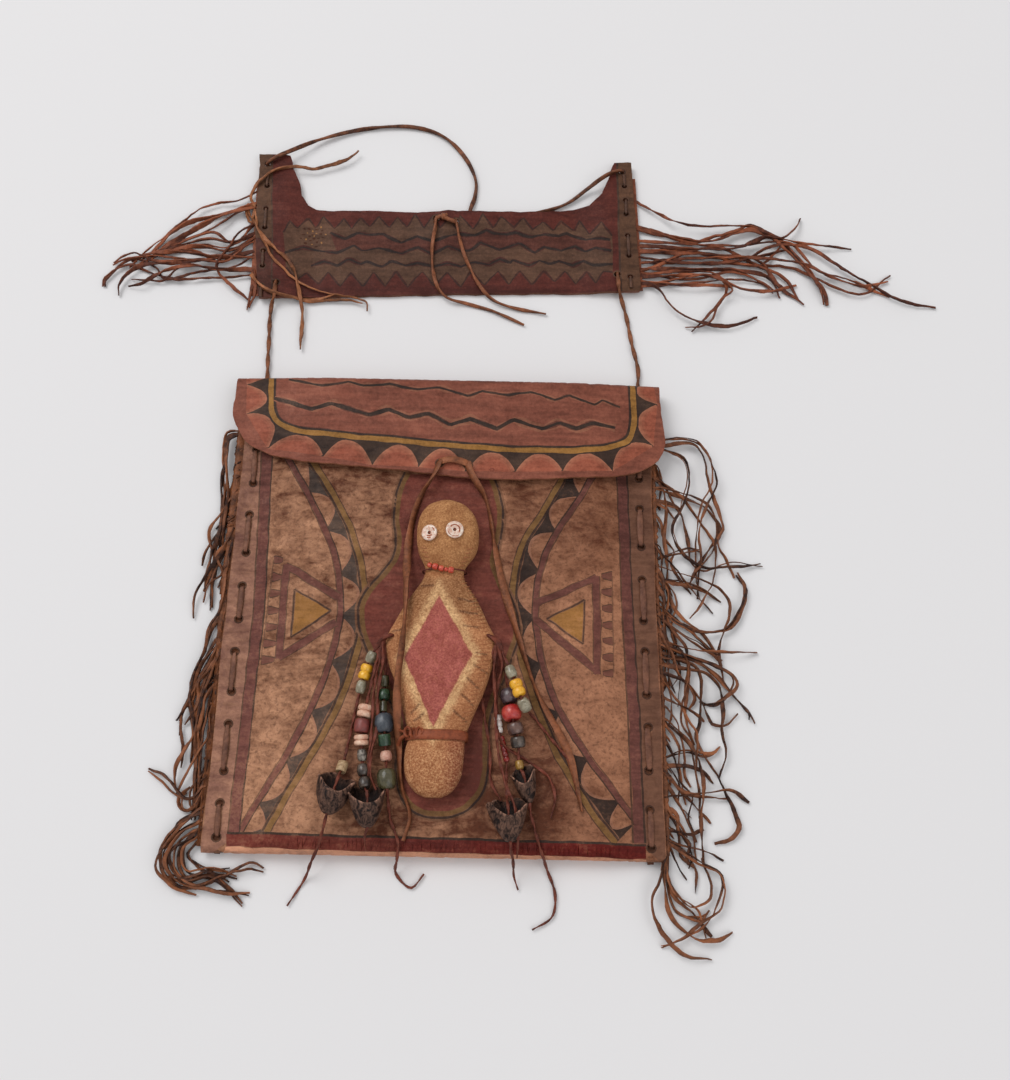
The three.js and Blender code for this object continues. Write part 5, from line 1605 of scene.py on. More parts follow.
def make_side_fringe(side, name):
    """Strands that follow the sketch, thinner ones beside them, short wild ones and cut tags."""
    make_side_heading(side, name)
    width = size_of("strand_width")
    thick = heading_roll(side, FRINGE_LOW)
    draw = random.Random(51 + side)
    build = Build()
    near, far = HALF + 2.6, HALF + 20
    root_of = lambda y: (side * fringe_edge(side, y), y)

    def lay(path, share, lowest=STRAND_LOW):
        strand(build, settled(path, draw, FRINGE_LEVEL, lowest), draw, width * share, thick)

    for drawn in SIDE_STRANDS[side]:
        places = [laid(*p, 4.0) for p in drawn]
        path = [root_of(clamp(places[0].y, FRINGE_LOW + 2, FRINGE_HIGH - 2))]
        for p in places[1:]:
            path.append((p.x if p.y < -TOP - 5 else side * max(abs(p.x), near), p.y))
        lay(path, 1 if side > 0 else 0.8)
        if side < 0 or draw.random() < 0.4:
            twin = path[:1]
            for x, y in path[1:]:
                if abs(x) > HALF + 4:
                    x -= side * draw.uniform(-2.4, 3.2)
                twin.append((x, y + draw.uniform(-3, 3)))
            lay(twin, 0.7)
    for _ in range(28 if side > 0 else 12):
        y = draw.uniform(FRINGE_LOW + 14, FRINGE_HIGH - 6)
        path, x = [root_of(y)], HALF + 2.0
        for _ in range(draw.randint(3, 6)):
            x = clamp(x + draw.uniform(-4, 8), near, far)
            y = max(y - draw.uniform(5, 14), FRINGE_LOW - 6)
            path.append((side * x, y))
        lay(path, 0.85)
    for _ in range(26):
        y = draw.uniform(FRINGE_LOW + 4, FRINGE_HIGH - 4)
        tag = [root_of(y)]
        for out, down in (((1.5, 3), (0, 3)), ((2.5, 5), (2, 7))):
            tag.append((side * (fringe_edge(side, y) + draw.uniform(*out)), y - draw.uniform(*down)))
        lay(tag, 0.7, 1.6)
    build.piece(name, "thong")


def make_over_band(name, draw, width, thick):
    """The strands of the left fringe that lie over the band's face."""
    build = Build()
    end = BAND_ENDS_AT[-1]
    for drawn in OVER_BAND:
        points = []
        for p in (laid(*spot, 6.0) for spot in drawn):
            along, across = band_local(p.x, p.y)
            over = BAND_LOW - 1.5 < across and abs(along) < end + 1.5
            points.append(Vector((p.x, p.y, band_top(p.x, p.y) + 1.6 if over else 2.2)))
        points[0] = on_band(-end - 2.2, band_local(*points[0].xy)[1], 3.2)
        strand(build, points, draw, width * 0.95, thick, shade=0.6)
    build.piece(f"{name}_over", "pale_thong", nodes=[name])


def make_band_fringe(side, name):
    width, thick = size_of("strand_width"), size_of("strand_thickness")
    draw = random.Random(61 + side)
    build = Build()
    end = BAND_ENDS_AT[side]
    low, high, level = BAND_LOW + 1, 56, 1.9
    lowest_root, highest_root = low + BAND_AT[1] + 8, high + BAND_AT[1] - 8
    strip = [on_band(side * (end - 3), lerp(high, low, k / 30), level) for k in range(31)]
    corners = [(u * 5.6, v * 0.45) for u, v in ((-1, -1), (1, -1), (1, 1), (-1, 1))]
    build.tube(strip, corners, side=on_band(1, 0, 0) - on_band(0, 0, 0), tone=0.4)
    for drawn in BAND_STRANDS[side]:
        places = [laid(*p, 3.0) for p in drawn]
        across = clamp(band_local(*places[0].xy)[1], low + 2, high - 2)
        root = on_band(side * (end + 1.6), across, level)
        path = [(root.x, root.y)]
        for p in places[1:]:
            along, across = band_local(p.x, p.y)
            if across > BAND_LOW - 2:
                along = side * max(abs(along), end + 2.6)
            path.append(tuple(on_band(along, across, 0).xy))
        lying = settled(path, draw, level)
        strand(build, lying, draw, width * draw.choice((1.0, 1.2, 1.35)), thick)
        twin = [(root.x, clamp(root.y + draw.uniform(-14, 14), lowest_root, highest_root))]
        twin += [(x + draw.uniform(-4, 4), y + draw.uniform(-6, 6)) for x, y in path[1:]]
        if draw.random() < 0.75:
            strand(build, settled(twin, draw, level), draw, width * 0.75, thick)
    build.piece(name, "red_fringe")
    if side < 0:
        make_over_band(name, draw, width, thick)


# Thongs


CLEAR = 0.3


def thong(name, points, width, thick, finish, nodes, body="case", pitch=34.0, tip=1.0,
          shade=0.5):
    """A free thong along its route."""
    line = curved(points, 2.0)
    total = length_of(line)
    seed = sum(ord(letter) for letter in name)
    along = lambda share, grain, layer: wander(share * total * grain, seed, layer)
    scale = lambda share: (1 + 0.12 * along(share, 0.08, 2)) * lerp(1, tip, smooth(share, 0.85, 1))
    twist = lambda share: 2 * math.pi * share * total / pitch + 0.8 * along(share, 0.05, 5)
    tone = lambda share: clamp(shade + 0.5 * along(share, 0.05, 8), 0, 1)
    build = Build()
    build.tube(line, oval(width, thick, 8), side=(0.2, 0.3, 1), twist=twist, scale=scale, tone=tone)
    made = build.piece(name, finish, nodes=nodes, body=body)
    tuple(Vector(points[0]) * MM)
    return made


def make_strap():
    left, right = BAND_HOLES["horns"]
    over = BAND_LIFT + BAND_THICK + CLEAR + 1.45
    ground = 1.55
    points = [on_band(*left, 1.7), on_band(*left, over - 0.6)]
    points.append(on_band(left[0] + 5, left[1] + 3.5, over + 0.4))
    points += [laid(290, 151, over), laid(322, 139, 3)]
    points += [laid(*p, ground) for p in route("366,129 412,127 444,137 466,159 476,182 475,197")]
    points += [on_band(*p, ground) for p in ((17, 29.2), (38, 28.4), (60, 29.4), (82, 37))]
    points += [on_band(96, 47, 3.4), on_band(106, 53, over + 0.6), on_band(114, 58, over + 0.5)]
    points += [on_band(*right, over - 0.6), on_band(*right, 1.7)]
    thong("strap_thong", points, 3.0, 2.0, "tie_thong", ["strap_thong"], pitch=90, shade=0.1)


def above_band(across, down, up):
    p = laid(across, down, 6)
    return Vector((p.x, p.y, band_top(p.x, p.y) + up))


def make_band_tie():
    left, right = BAND_HOLES["middle"]
    face = lambda along, across: band_under(along, across) + BAND_THICK + CLEAR + 1.2
    deep = 1.35
    middle = on_band(lerp(left[0], right[0], 0.5), lerp(left[1], right[1], 0.5), deep)
    legs = (
        ("left", left, 0.4, -0.4, "432,250,4.1 436,283,4 446,297,3.4 468,304,1.3 495,312,1.3 524,325,1.3"),
        ("right", right, -0.4, 1, "463,251,4.1 473,274,4 482,289,4 493,300,2.6 514,308,1.3 546,314,1.3"),
    )
    for name, (along, across), inward, outward, leg in legs:
        points = [middle, on_band(along + inward, across, deep + 0.5)]
        points.append(on_band(along, across, face(along, across)))
        points.append(on_band(along + outward, across - 6, face(along, across - 6) + 0.9))
        points += [laid(*p) for p in route(leg)]
        thong(f"band_tie_thong_{name}", points, 2.6, 1.7, "tie_thong", ["band_tie_thong"], tip=0.7,
              pitch=60)
    build = Build()
    knot = route("434,221,-1.6 436,219,1.4 442,217.5,2.4 449,221,2.4 455,222,1.4 457,222,-1.6")
    build.tube(curved([above_band(*p) for p in knot], 1.0), oval(3.2, 2.0, 8), side=(0, 1, 0.2), tone=0.5)
    middle = above_band(443, 218, 2.2)
    coil = []
    for t in (k * 0.18 for k in range(34)):
        coil.append(middle + Vector((0.5 * t - 0.6, 1.9 * math.cos(t * 2.2), 1.1 * math.sin(t * 2.2))))
    build.tube(coil, oval(1.9, 1.4, 6), tone=0.6)
    build.piece("band_tie_knot", "tie_thong", nodes=["band_tie_thong"])


def make_hangers():
    over = BAND_LIFT + BAND_THICK + CLEAR + 0.95
    inside = 2.7
    ways = {
        -1: "272,303,3.2 270,318,1.5 269,340,1.5 268,358,1.9",
        1: "621,298,3.2 626,316,1.5 632,345,1.5 638,370,1.9",
    }
    for (side, name), (along, across) in zip(SIDES, BAND_HOLES["corners"]):
        points = [on_band(along, across, 1.3), on_band(along, across, over - 0.8)]
        points.append(on_band(along + side * 0.2, across - 5, over + 0.2))
        points.append(on_band(along + side * 0.4, BAND_LOW - 1, over))
        points += [laid(*p) for p in route(ways[side])]
        for y, z in ((TOP + 4, 1.3), (TOP - 1, inside), (TOP - 9, inside + 0.6)):
            points.append(Vector((side * HANGER_X, y, z)))
        thong(f"hanger_thong_{name}", points, 3.0, 1.9, "thong", [f"hanger_thong_{name}"], pitch=26)


FLAP_TIE_LEGS = {
    # two points on the flap, then points with their height above the case's face
    "left": (
        route("436,471 430,481"),
        route("423,492,0.6 414,514,0 409,540,0 407,562,2.5 406,588,12 405,615,16.6 402,645,17 398,675,15.3"
              " 397,714,11 399,747,2 401.5,786,0 410,816,0 403,841,0"),
    ),
    "right": (
        route("471,473 477,483"),
        route("485,497,0.6 490,516,0 494,541,0 503,585,0 517,632,0 537,692,0 568,752,0 582,812,0"),
    ),
}


def make_flap_tie():
    over = DEPTH + FLAP_CLEAR + HIDE + CLEAR + 1.2
    under = DEPTH + FLAP_CLEAR / 2
    rest = REST + 1.2
    left, right = (laid(*hole, 17) for hole in FLAP_HOLES)
    at = lambda hole, z: Vector((hole.x, hole.y, z))
    for hole, (name, ((first, second), leg)) in zip((left, right), FLAP_TIE_LEGS.items()):
        points = [at(hole, under + 0.8), at(hole, over), laid(*first, over + 0.5), laid(*second, over)]
        points += [laid(across, down, rest + up) for across, down, up in leg]
        made = thong(f"flap_tie_thong_{name}", points, 4.7, 2.1, "tie_thong", ["flap_tie_thong"],
                     body=None, pitch=190, tip=0.5)
        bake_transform(made)
    build = Build()
    top = flap_top(left.x) + 1.3
    bridge = [at(left, under + 0.6), at(left, top - 0.4)]
    for share, bulge in ((0.3, 1.6), (0.7, 1.4)):
        bridge.append(at(left, top).lerp(at(right, top), share) + Vector((0, bulge, 0.9)))
    bridge += [at(right, top - 0.4), at(right, under + 0.6)]
    tone = lambda share: 0.6 + 0.3 * math.sin(share * 9)
    build.tube(curved(bridge, 1.2), oval(4.6, 2.0, 8), side=(0, 1, 0.2), tone=tone)
    build.piece("flap_tie_bridge", "tie_thong", nodes=["flap_tie_thong"], body="flap")


# The doll


DOLL = [
    # stations along the doll: y, middle, half width, low and high
    (-113.5, -1, 4.5, 4, 8), (-110.5, -1, 10, 1.6, 12), (-103, -1.2, 15, 0.4, 14.8),
    (-91, -1, 16.4, 0.4, 14.6), (-80, 0, 16, 2.4, 12), (-70, 0.5, 19, 0.6, 14.8),
    (-54, 1.5, 24.5, 0.3, 16.8), (-38, 0.5, 30, 0.5, 17), (-27, 0.5, 31.5, 1, 16.5),
    (-14, 0.2, 26, 0.9, 15.8), (-2, 0.5, 20, 0.6, 15.5), (11, 0.5, 12, 1.8, 13.4),
    (17, 1, 11.5, 2.2, 13), (27, 2, 16.8, 0.5, 17.5), (38, 2, 18.2, 0.3, 19),
    (49, 1.5, 16.4, 0.6, 17.5), (56, 1, 11.4, 2.5, 14.5), (59.5, 1, 4.5, 5.5, 10.5),
]
DIAMOND = route("439,595 472,654 433,726 404,657")
SIDE_MARKS = routes(
    "459,600 474,602", "460,613 477,614", "464,627 480,628", "476,654 487,655", "474,666 487,673",
    "468,680 479,689", "462,696 473,705", "454,712 466,721", "422,586 433,586", "393,631 404,630",
    "411,713 420,705", "414,721 424,714",
)
LOWER_END = srgb(150, 86, 54)
LOWER_SIDE = srgb(152, 80, 60)
HEAD_SOIL = srgb(124, 94, 58)
NECK_SOIL = srgb(130, 92, 58)
# painted shade for the doll's low sides
PAINTED_SIDE_SHADE = srgb(116, 70, 48)
MARK = srgb(84, 46, 36)
BELT_Y = -80.2
NECK_Y = 15.4


def doll_point(station, turn):
    y, middle, half, low, high = station
    cos, sin = math.cos(turn), math.sin(turn)
    waist = lerp(low, high, 0.42)
    squash = math.copysign(abs(sin) ** 0.8, sin)
    reach = high - waist if sin > 0 else waist - low
    return Vector((middle + half * cos, y, DEPTH + waist + squash * reach))


def doll_stations(count):
    """The doll's sections, carried smoothly from one station to the next."""
    rows = catmull([s[:3] for s in DOLL], 12)
    heights = catmull([(s[0], s[3], s[4]) for s in DOLL], 12)

    def at(line, y):
        for a, b in zip(line, line[1:]):
            if b.x >= y:
                return a.lerp(b, clamp((y - a.x) / max(b.x - a.x, 1e-6), 0, 1))
        return line[-1]

    ys = [lerp(DOLL[0][0], DOLL[-1][0], k / (count - 1)) for k in range(count)]
    return [(y, *at(rows, y).yz, *at(heights, y).yz) for y in ys]


def doll_station(y):
    """The doll's section at y, taken straight from one station to the next."""
    i = max(1, next((k for k, s in enumerate(DOLL) if s[0] > y), len(DOLL) - 1))
    share = clamp((y - DOLL[i - 1][0]) / (DOLL[i][0] - DOLL[i - 1][0]), 0, 1)
    return blend(DOLL[i - 1], DOLL[i], share)


def doll_top(x, y):
    """Height of the doll's face above the ground at a point."""
    station = doll_station(y)
    return doll_point(station, math.acos(clamp((x - station[1]) / station[2], -1, 1))).z


def doll_ring(y, out, count=72):
    """A ring round the doll, standing out from its hide."""
    _, middle, half, low, high = doll_station(y)
    station = (y, middle, half + out, max(low - out, 0.45), high + out)
    return [doll_point(station, 2 * math.pi * k / count) for k in range(count)]


def inside_by(polygon, x, y):
    """How far a point lies inside a convex polygon, negative outside it."""
    found = 1e9
    for a, b in zip(polygon, polygon[1:] + polygon[:1]):
        along = Vector((b[0] - a[0], b[1] - a[1])).normalized()
        found = min(found, (x - a[0]) * along.y - (y - a[1]) * along.x)
    return found


def line_distance(a, b, x, y):
    span = Vector((b[0] - a[0], b[1] - a[1]))
    share = clamp(((x - a[0]) * span.x + (y - a[1]) * span.y) / span.length_squared, 0, 1)
    return math.hypot(x - a[0] - span.x * share, y - a[1] - span.y * share)


def doll_paint(p, diamond, marks, inks):
    """Colour of a point of the doll, with painted shade on its low sides, and how dusty its nap is."""
    tan, brown, cream, red = inks
    x, y = hand((p.x, p.y), 0.5, 0.25)
    speck = wander(p.x * 0.9, p.y * 0.9, 4.4)
    face = smooth(p.z, DEPTH + 7, DEPTH + 10)
    depth = inside_by(diamond, x, y)
    border = smooth(depth, -7.0, -2.0) * (1 - smooth(depth, -0.3, 0.3))
    shade = blend(tan, brown, smooth(y, 8, 18))
    for ink, share in (
            (LOWER_END, 0.55 * smooth(-y, 84, 96) * (0.7 + 0.6 * speck)),
            (LOWER_SIDE, 0.75 * smooth(-y, 76, 84) * smooth(x, 0, 12)),
            (HEAD_SOIL, 0.12 * smooth(y, 14, 20) * (0.75 + 0.5 * speck)),
            (NECK_SOIL, 0.55 * smooth(y, -22, -4) * (1 - smooth(y, 8, 14))),
            # painted shade darkening the doll's low sides
            (PAINTED_SIDE_SHADE, 0.45 * (1 - smooth(p.z, DEPTH + 4, DEPTH + 9.5))),
            (cream, face * border * clamp(0.75 + 0.8 * speck, 0, 1)),
            (red, face * smooth(depth, -0.25, 0.3) * clamp(0.97 + 0.2 * speck, 0, 1))):
        shade = blend(shade, ink, share)
    if p.z > DEPTH + 4:
        for a, b in marks:
            shade = blend(shade, MARK, 0.72 * (1 - smooth(line_distance(a, b, x, y), 0.3, 1.05)))
    dust = lerp(lerp(0.3, 0.2, smooth(y, 10, 18)), 0.8, face * border)
    dust = lerp(dust, 0.07, face * smooth(depth, -0.3, 0.5))
    return (*shade, lerp(dust, 0.55, smooth(-y, 84, 90)))


def make_doll_body():
    face_steps, back_steps = 112, 48
    turns = [math.pi * k / face_steps for k in range(face_steps)]
    turns += [math.pi * (1 + k / back_steps) for k in range(back_steps)]
    rings = []
    for station in doll_stations(290):
        rings.append([doll_point(station, turn) for turn in turns])
        for p in rings[-1]:
            lump = wander(p.x * 0.07, p.y * 0.07, p.z * 0.07)
            p.z += 0.35 * lump * smooth(p.z, DEPTH + 3, DEPTH + 9)
    build = Build()
    build.loft(rings, [0.5] * len(rings))
    data = mesh_of("doll_body", build.points, build.faces)
    diamond = flat(laid(*p, DEPTH + 16) for p in DIAMOND)
    marks = [flat(laid(*p, DEPTH + 12) for p in ends) for ends in SIDE_MARKS]
    inks = [colour_of(name) for name in ("doll_tan", "doll_brown", "doll_cream", "doll_red")]
    values = []
    for p in build.points:
        values.extend(doll_paint(p, diamond, marks, inks))
    colour_in(data, "POINT", values)
    doll = settle(data, "doll_hide", "doll_hide", ["doll"], sharp=60)


def make_doll_seam():
    """Whip stitches over the doll's two side seams."""
    build = Build()
    for side, low, high in ((1, -74, 12), (1, 16, 34), (-1, 16, 30)):
        turns = [math.radians(t if side > 0 else 180 - t) for t in (46, 36, 26, 14)]
        y = low
        while y < high:
            station = doll_station(y)
            line = []
            for k, turn in enumerate(turns):
                sunk = 0.05 if 0 < k < 3 else -0.25
                p = doll_point(station, turn) + Vector((math.cos(turn), 0, math.sin(turn))) * sunk
                p.y += 0.7 * k - 1.0
                line.append(p)
            build.tube(stepped(catmull(line, 4), 1.0), oval(0.65, 0.65, 6, 1.0), tone=1.3)
            y += 2.4
    build.piece("doll_seam_stitches", "pale_thong", nodes=[])


def make_doll_belt():
    build = Build()
    ring = doll_ring(BELT_Y, 1.0)
    for p in ring:
        p.y += 0.6 * wander(p.x * 0.1, p.z * 0.1, 3)
    tone = lambda share: 0.55 + 0.35 * wander(share * 14, 1, 1)
    build.tube(ring, oval(5.6, 1.3, 10, 0.7), side=(0, 1, 0), closed=True, tone=tone)
    knot = Vector((-12.5, -79.5, doll_top(-12.5, -80) + 1.9))
    for k, (dx, dy) in enumerate(((-3.4, 0.6), (0, 0), (3.2, 0.8))):
        line = []
        for t in (2 * math.pi * i / 14 for i in range(14)):
            up = -0.2 + 0.9 * math.sin(t * 2 + k)
            line.append(knot + Vector((dx + 1.6 * math.cos(t), dy + 2.4 * math.sin(t), up)))
        build.tube(line, oval(1.8, 1.5, 6, 1.0), closed=True, tone=0.5 + 0.12 * k)
    ends = (((-4, 0, 0), (-7.5, 1.4, -2.4), (-9.6, 3.4, -6.2)), ((-4, -1, 0), (-7, -3, -2.2), (-8.6, -6, -6)))
    for end in ends:
        build.tube(curved([knot + Vector(p) for p in end], 1.2), oval(2.2, 1.1, 6), tone=0.6)
    build.piece("doll_belt_thong", "red_thong", nodes=["doll_belt"])


EYES = {
    # place on the sketch, radius and stains as (share of the radius, start and end angle)
    "left": ((430, 532), 4.8, ((0.42, 4.0, 5.6), (0.66, 4.3, 5.1), (0.72, 0.2, 1.0))),
    "right": ((454.5, 530), 5.2, ((0.56, -0.5, 2.6), (0.8, 3.4, 5.4))),
}


def rounded_disc(radius, bore, thick, steps=5):
    """A disc's closed profile with a bore and rounded rim."""
    half = thick / 2
    profile = [(bore, -half), (lerp(bore, radius, 0.5), -half)]
    for k in range(steps + 1):
        angle = -math.pi / 2 + math.pi * k / steps
        profile.append((radius - half + half * math.cos(angle), half * math.sin(angle)))
    return profile + [(lerp(bore, radius, 0.55), half * 0.82), (bore * 1.5, half * 0.72), (bore, half * 0.4)]


def make_doll_eyes():
    """Two shell discs, each tied on by a crossed thread and stained in arcs."""
    span = 3
    for name, (spot, radius, stains) in EYES.items():
        x, y = laid(*spot, DEPTH + 19).xy
        tilt = (doll_top(x + span, y) - doll_top(x - span, y)) / (2 * span)
        nod = (doll_top(x, y + span) - doll_top(x, y - span)) / (2 * span)
        normal = Vector((-tilt, -nod, 1)).normalized()
        seat = Vector((x, y, doll_top(x, y))) + normal * 1.2
        turn = UP.rotation_difference(normal)
        place = lambda p: turn @ p + seat
        disc = Build()
        disc.lathe(rounded_disc(radius, 1.0, 1.5), 40, place)
        disc.piece(f"doll_eye_{name}", "shell", "shell", sharp=60)
        thread = Build()
        for angle in (1.2, 3.1):
            reach = Vector((0.9 * math.cos(angle), 0.9 * math.sin(angle), 0))
            line = [place(reach * s + UP * (0.5 * (1 - s * s) - 0.25)) for s in (-1.5, -0.8, 0, 0.8, 1.5)]
            thread.tube(catmull(line, 3), oval(0.8, 0.8, 6, 1.0), tone=0.3)
        for share, start, end in stains:
            reach = share * radius
            arc = []
            for angle in (lerp(start, end, k / 14) for k in range(15)):
                arc.append(place(Vector((reach * math.cos(angle), reach * math.sin(angle), 0.6))))
            thread.tube(arc, oval(0.75, 0.3, 6, 1.0), side=normal.orthogonal(), tone=1.0)
        thread.piece(f"doll_eye_knot_{name}", "red_thong", nodes=[])


NECKLACE = (
    # place on the sketch and radius of each bead
    (429.8, 564.8, 1.5), (435.4, 566.8, 1.9), (441.4, 568.9, 1.75), (446.2, 570.0, 1.2), (451.0, 570.4, 1.9),
)


def make_necklace():
    thread = Build()
    thread.tube(doll_ring(NECK_Y, 1.1), oval(1.0, 1.0, 6, 1.0), side=(0, 1, 0), closed=True, tone=0.3)
    thread.piece("necklace_thread", "red_thread", nodes=["doll_necklace"])
    beads = Build()
    for across, down, radius in NECKLACE:
        p = laid(across, down, DEPTH + 14)
        p.z = doll_top(p.x, NECK_Y) + 2.0
        turn = UP.rotation_difference(Vector((1, -0.25, -p.x * 0.03)).normalized())
        beads.lathe(bead_profile("round", radius, radius * 1.7), 22, lambda q: turn @ q + p)
    beads.piece("necklace_beads", "coral_glass", "glass_red", ["doll_necklace"], sharp=60)


# Bead strings


BORE = 1.0
BEAD_SHAPES = {
    # how round the sides are and how round the ends are
    "round": (0.42, 1.0),
    "barrel": (0.24, 0.8),
    "tube": (0.1, 0.45),
}
CLAW = (
    # share of the length, share of the radius and tone: from the point out to the rim and back inside
    (-0.5, 0.0, 0.36), (-0.5, 0.2, 0.36), (-0.47, 0.32, 0.36), (-0.38, 0.5, 0.36), (-0.24, 0.68, 0.38),
    (-0.05, 0.84, 0.4), (0.16, 0.94, 0.42), (0.34, 1.0, 0.5), (0.44, 1.04, 0.9), (0.48, 1.05, 1.5),
    (0.5, 1.0, 1.3), (0.46, 0.94, 0.35), (0.3, 0.86, 0.05), (0.08, 0.74, 0.02), (-0.14, 0.5, 0.02),
    (-0.3, 0.24, 0.02), (-0.34, 0.0, 0.02),
)
CLAW_WIDE, CLAW_HIGH = 1.12, 0.86
STRINGS = {
    # a bead: its stop on the route, name, shape, radius, length, finish, slot and the count of a row
    "left": [
        {
            "route": route(
                "379,645,11 371,657,7 365.5,672,5.5 361,687,4.5 353,722,2 345,757,3 342,767,4"
                " 332,796,9.4 326,816,9.4 318,846,1.8 311,862,-1.5"),
            "tail": route("304,880 287,906"),
            "beads": [
                (1, "clear_bead_left_upper", "round", 2.9, 6.8, "clear_glass", "glass_clear"),
                (2, "yellow_bead_left", "row", 3.5, 8.8, "yellow_glass", "glass_yellow", 2),
                (3, "clear_bead_left_lower", "round", 2.9, 7.4, "clear_glass", "glass_clear"),
                (6, "tan_cube_bead", "tube", 3.0, 6, "tan_stone", "shell"),
                (7, "dewclaw_left_outer", "claw", 8.4, 20, "horn", "horn"),
            ],
        },
        {
            "route": route(
                "382,644,9 376,664,11 369,694,8 365,711,6 362,726,6 361.5,740,6 362,755,5.4 363,770,5"
                " 364.5,783,5.6 367,809,9.6 366,831,9.2 364.5,841,3 366,851,1.4"),
            "tail": [],
            "beads": [
                (3, "cream_beads_upper", "row", 4.2, 7.2, "cream_stone", "glass_cream", 2),
                (4, "red_barrel_bead", "barrel", 4.4, 7.6, "red_stone", "glass_red"),
                (5, "cream_beads_lower", "row", 4.2, 6, "cream_stone", "glass_cream", 2),
                (6, "metal_bead", "round", 2.7, 6.6, "metal", "metal"),
                (7, "dark_bead_upper", "round", 3.4, 6.6, "dark_glass", "glass_dark"),
                (8, "dark_bead_lower", "round", 3.4, 6.4, "dark_glass", "glass_dark"),
                (9, "dewclaw_left_inner", "claw", 8.2, 20, "horn", "horn"),
            ],
        },
        {
            "route": route(
                "385,646,10 385.5,664,8 385,681,5 384,695,5 383.5,707,5.6 384,723,6.5 384.5,740,6"
                " 386,756,5 386.5,779,6.4 388,800,2.5 390,818,1.2 398,843,1.4 397,858,-0.8"),
            "tail": route("396,874 411,888 424,874"),
            "beads": [
                (2, "smoke_bead", "round", 2.5, 6.6, "olive_glass", "glass_dark"),
                (3, "green_bead", "round", 3.7, 6.2, "green_glass", "glass_green"),
                (4, "olive_bead", "tube", 2.1, 6.2, "olive_glass", "glass_green"),
                (5, "slate_bead", "round", 5.2, 10.4, "slate_glass", "glass_slate"),
                (6, "green_tube_bead", "tube", 3.5, 6.4, "green_glass", "glass_green"),
                (7, "pink_bead", "round", 3.3, 5.6, "pink_stone", "glass_cream"),
                (8, "olive_large_bead", "round", 5.4, 11, "olive_glass", "glass_green"),
            ],
        },
    ],
    "right": [
        {
            "route": route(
                "501,650,11 511,672,12 517.5,688,12.5 524.5,705,11.4 535,719,4 553,741,1.2 570,763,1.2"
                " 577,795,1.2"),
            "tail": [],
            "beads": [
                (1, "clear_bead_right_upper", "round", 3.1, 7.4, "clear_glass", "glass_clear"),
                (2, "yellow_bead_right", "row", 3.7, 9.6, "yellow_glass", "glass_yellow", 2),
                (3, "clear_bead_right_lower", "round", 3.5, 7.8, "clear_glass", "glass_clear"),
            ],
        },
        {
            "route": route(
                "500,652,9 506,676,7 509,696,5.6 511.5,713,6.4 515.5,728.5,5.6 518,742,5 519.5,765,3.5"
                " 526,787,6 529.5,808,5.8 537,838,1.8 542,854,0.4 547,870,-10.6"),
            "tail": route("555,894 552,917 532,930"),
            "beads": [
                (2, "purple_bead", "round", 5.0, 8.4, "purple_glass", "glass_dark"),
                (3, "red_bead", "round", 5.6, 8.4, "red_glass", "glass_red"),
                (4, "brown_bead", "barrel", 4.5, 6.6, "brown_glass", "glass_dark"),
                (5, "dark_bead_right", "barrel", 4.2, 6.2, "dark_glass", "glass_dark"),
                (6, "amber_bead", "round", 2.4, 5, "amber_glass", "glass_yellow"),
                (7, "dewclaw_right_upper", "claw", 5.4, 18, "horn", "horn"),
            ],
        },
        {
            "route": route(
                "496,652,8 496,690,4.5 497,712,3.5 498.5,724,3.3 500,735,3 504,749,2.6 506.5,766,2.4"
                " 507,799,5.4 509,822,9.4 510.5,848,9.2 513,861,2 514,877,-9"),
            "tail": route("518,890"),
            "beads": [
                (3, "white_seed_beads", "row", 2.1, 10.4, "white_glass", "glass_cream", 3),
                (5, "red_seed_beads", "row", 1.75, 14.6, "dark_red_glass", "glass_red", 5),
                (8, "dewclaw_right_lower", "claw", 8.6, 21, "horn", "horn"),
            ],
        },
    ],
}
LOOSE_ENDS = {
    "left": routes(
        "380,656,11 374,690,8.5 371.5,731,8 369,757,7 368,776,6.4",
        "383,660,12 378,692,9 377,728,8.6 372,748,8 370,772,7 376,790,5.5",
    ),
    "right": routes(
        "494,665,11 495.5,705,9 498,750,8 507,788,9 515,807,11 518,835,10.5 517,858,4",
        "486,672,9 482,692,5.5 486,725,3.4 490,751,2.2 491,782,1.4 501,801,1.2",
        "502,668,10 497,690,7 496,722,5.5 503,744,5.2 526,760,2 549,778,1.3 555,797,1.3 551,818,1.3",
    ),
}
ARM_HOLES = {"left": (392, 637), "right": (489, 638)}


def bead_profile(shape, radius, long, count=1):
    """A bead's closed profile with its bore; a row is several small beads in one."""
    half = long / 2
    if shape == "row":
        pitch = long / count
        profile = [(BORE, -half)]
        for i in range(count):
            middle = -half + pitch * (i + 0.5)
            for k in range(9):
                angle = -math.pi / 2 + math.pi * k / 8
                swollen = radius * (0.72 + 0.28 * math.cos(angle))
                profile.append((swollen, middle + pitch * 0.48 * math.sin(angle)))
        return profile + [(BORE, half)]
    fullness, crown = BEAD_SHAPES[shape]
    profile = [(BORE, -half * 0.92)]
    for k in range(15):
        angle = -math.pi / 2 + math.pi * k / 14
        body = radius * (1 - fullness) + radius * fullness * math.cos(angle)
        along = math.copysign(abs(math.sin(angle)) ** crown, math.sin(angle))
        profile.append((body, half * along))
    return profile + [(BORE, half * 0.92)]


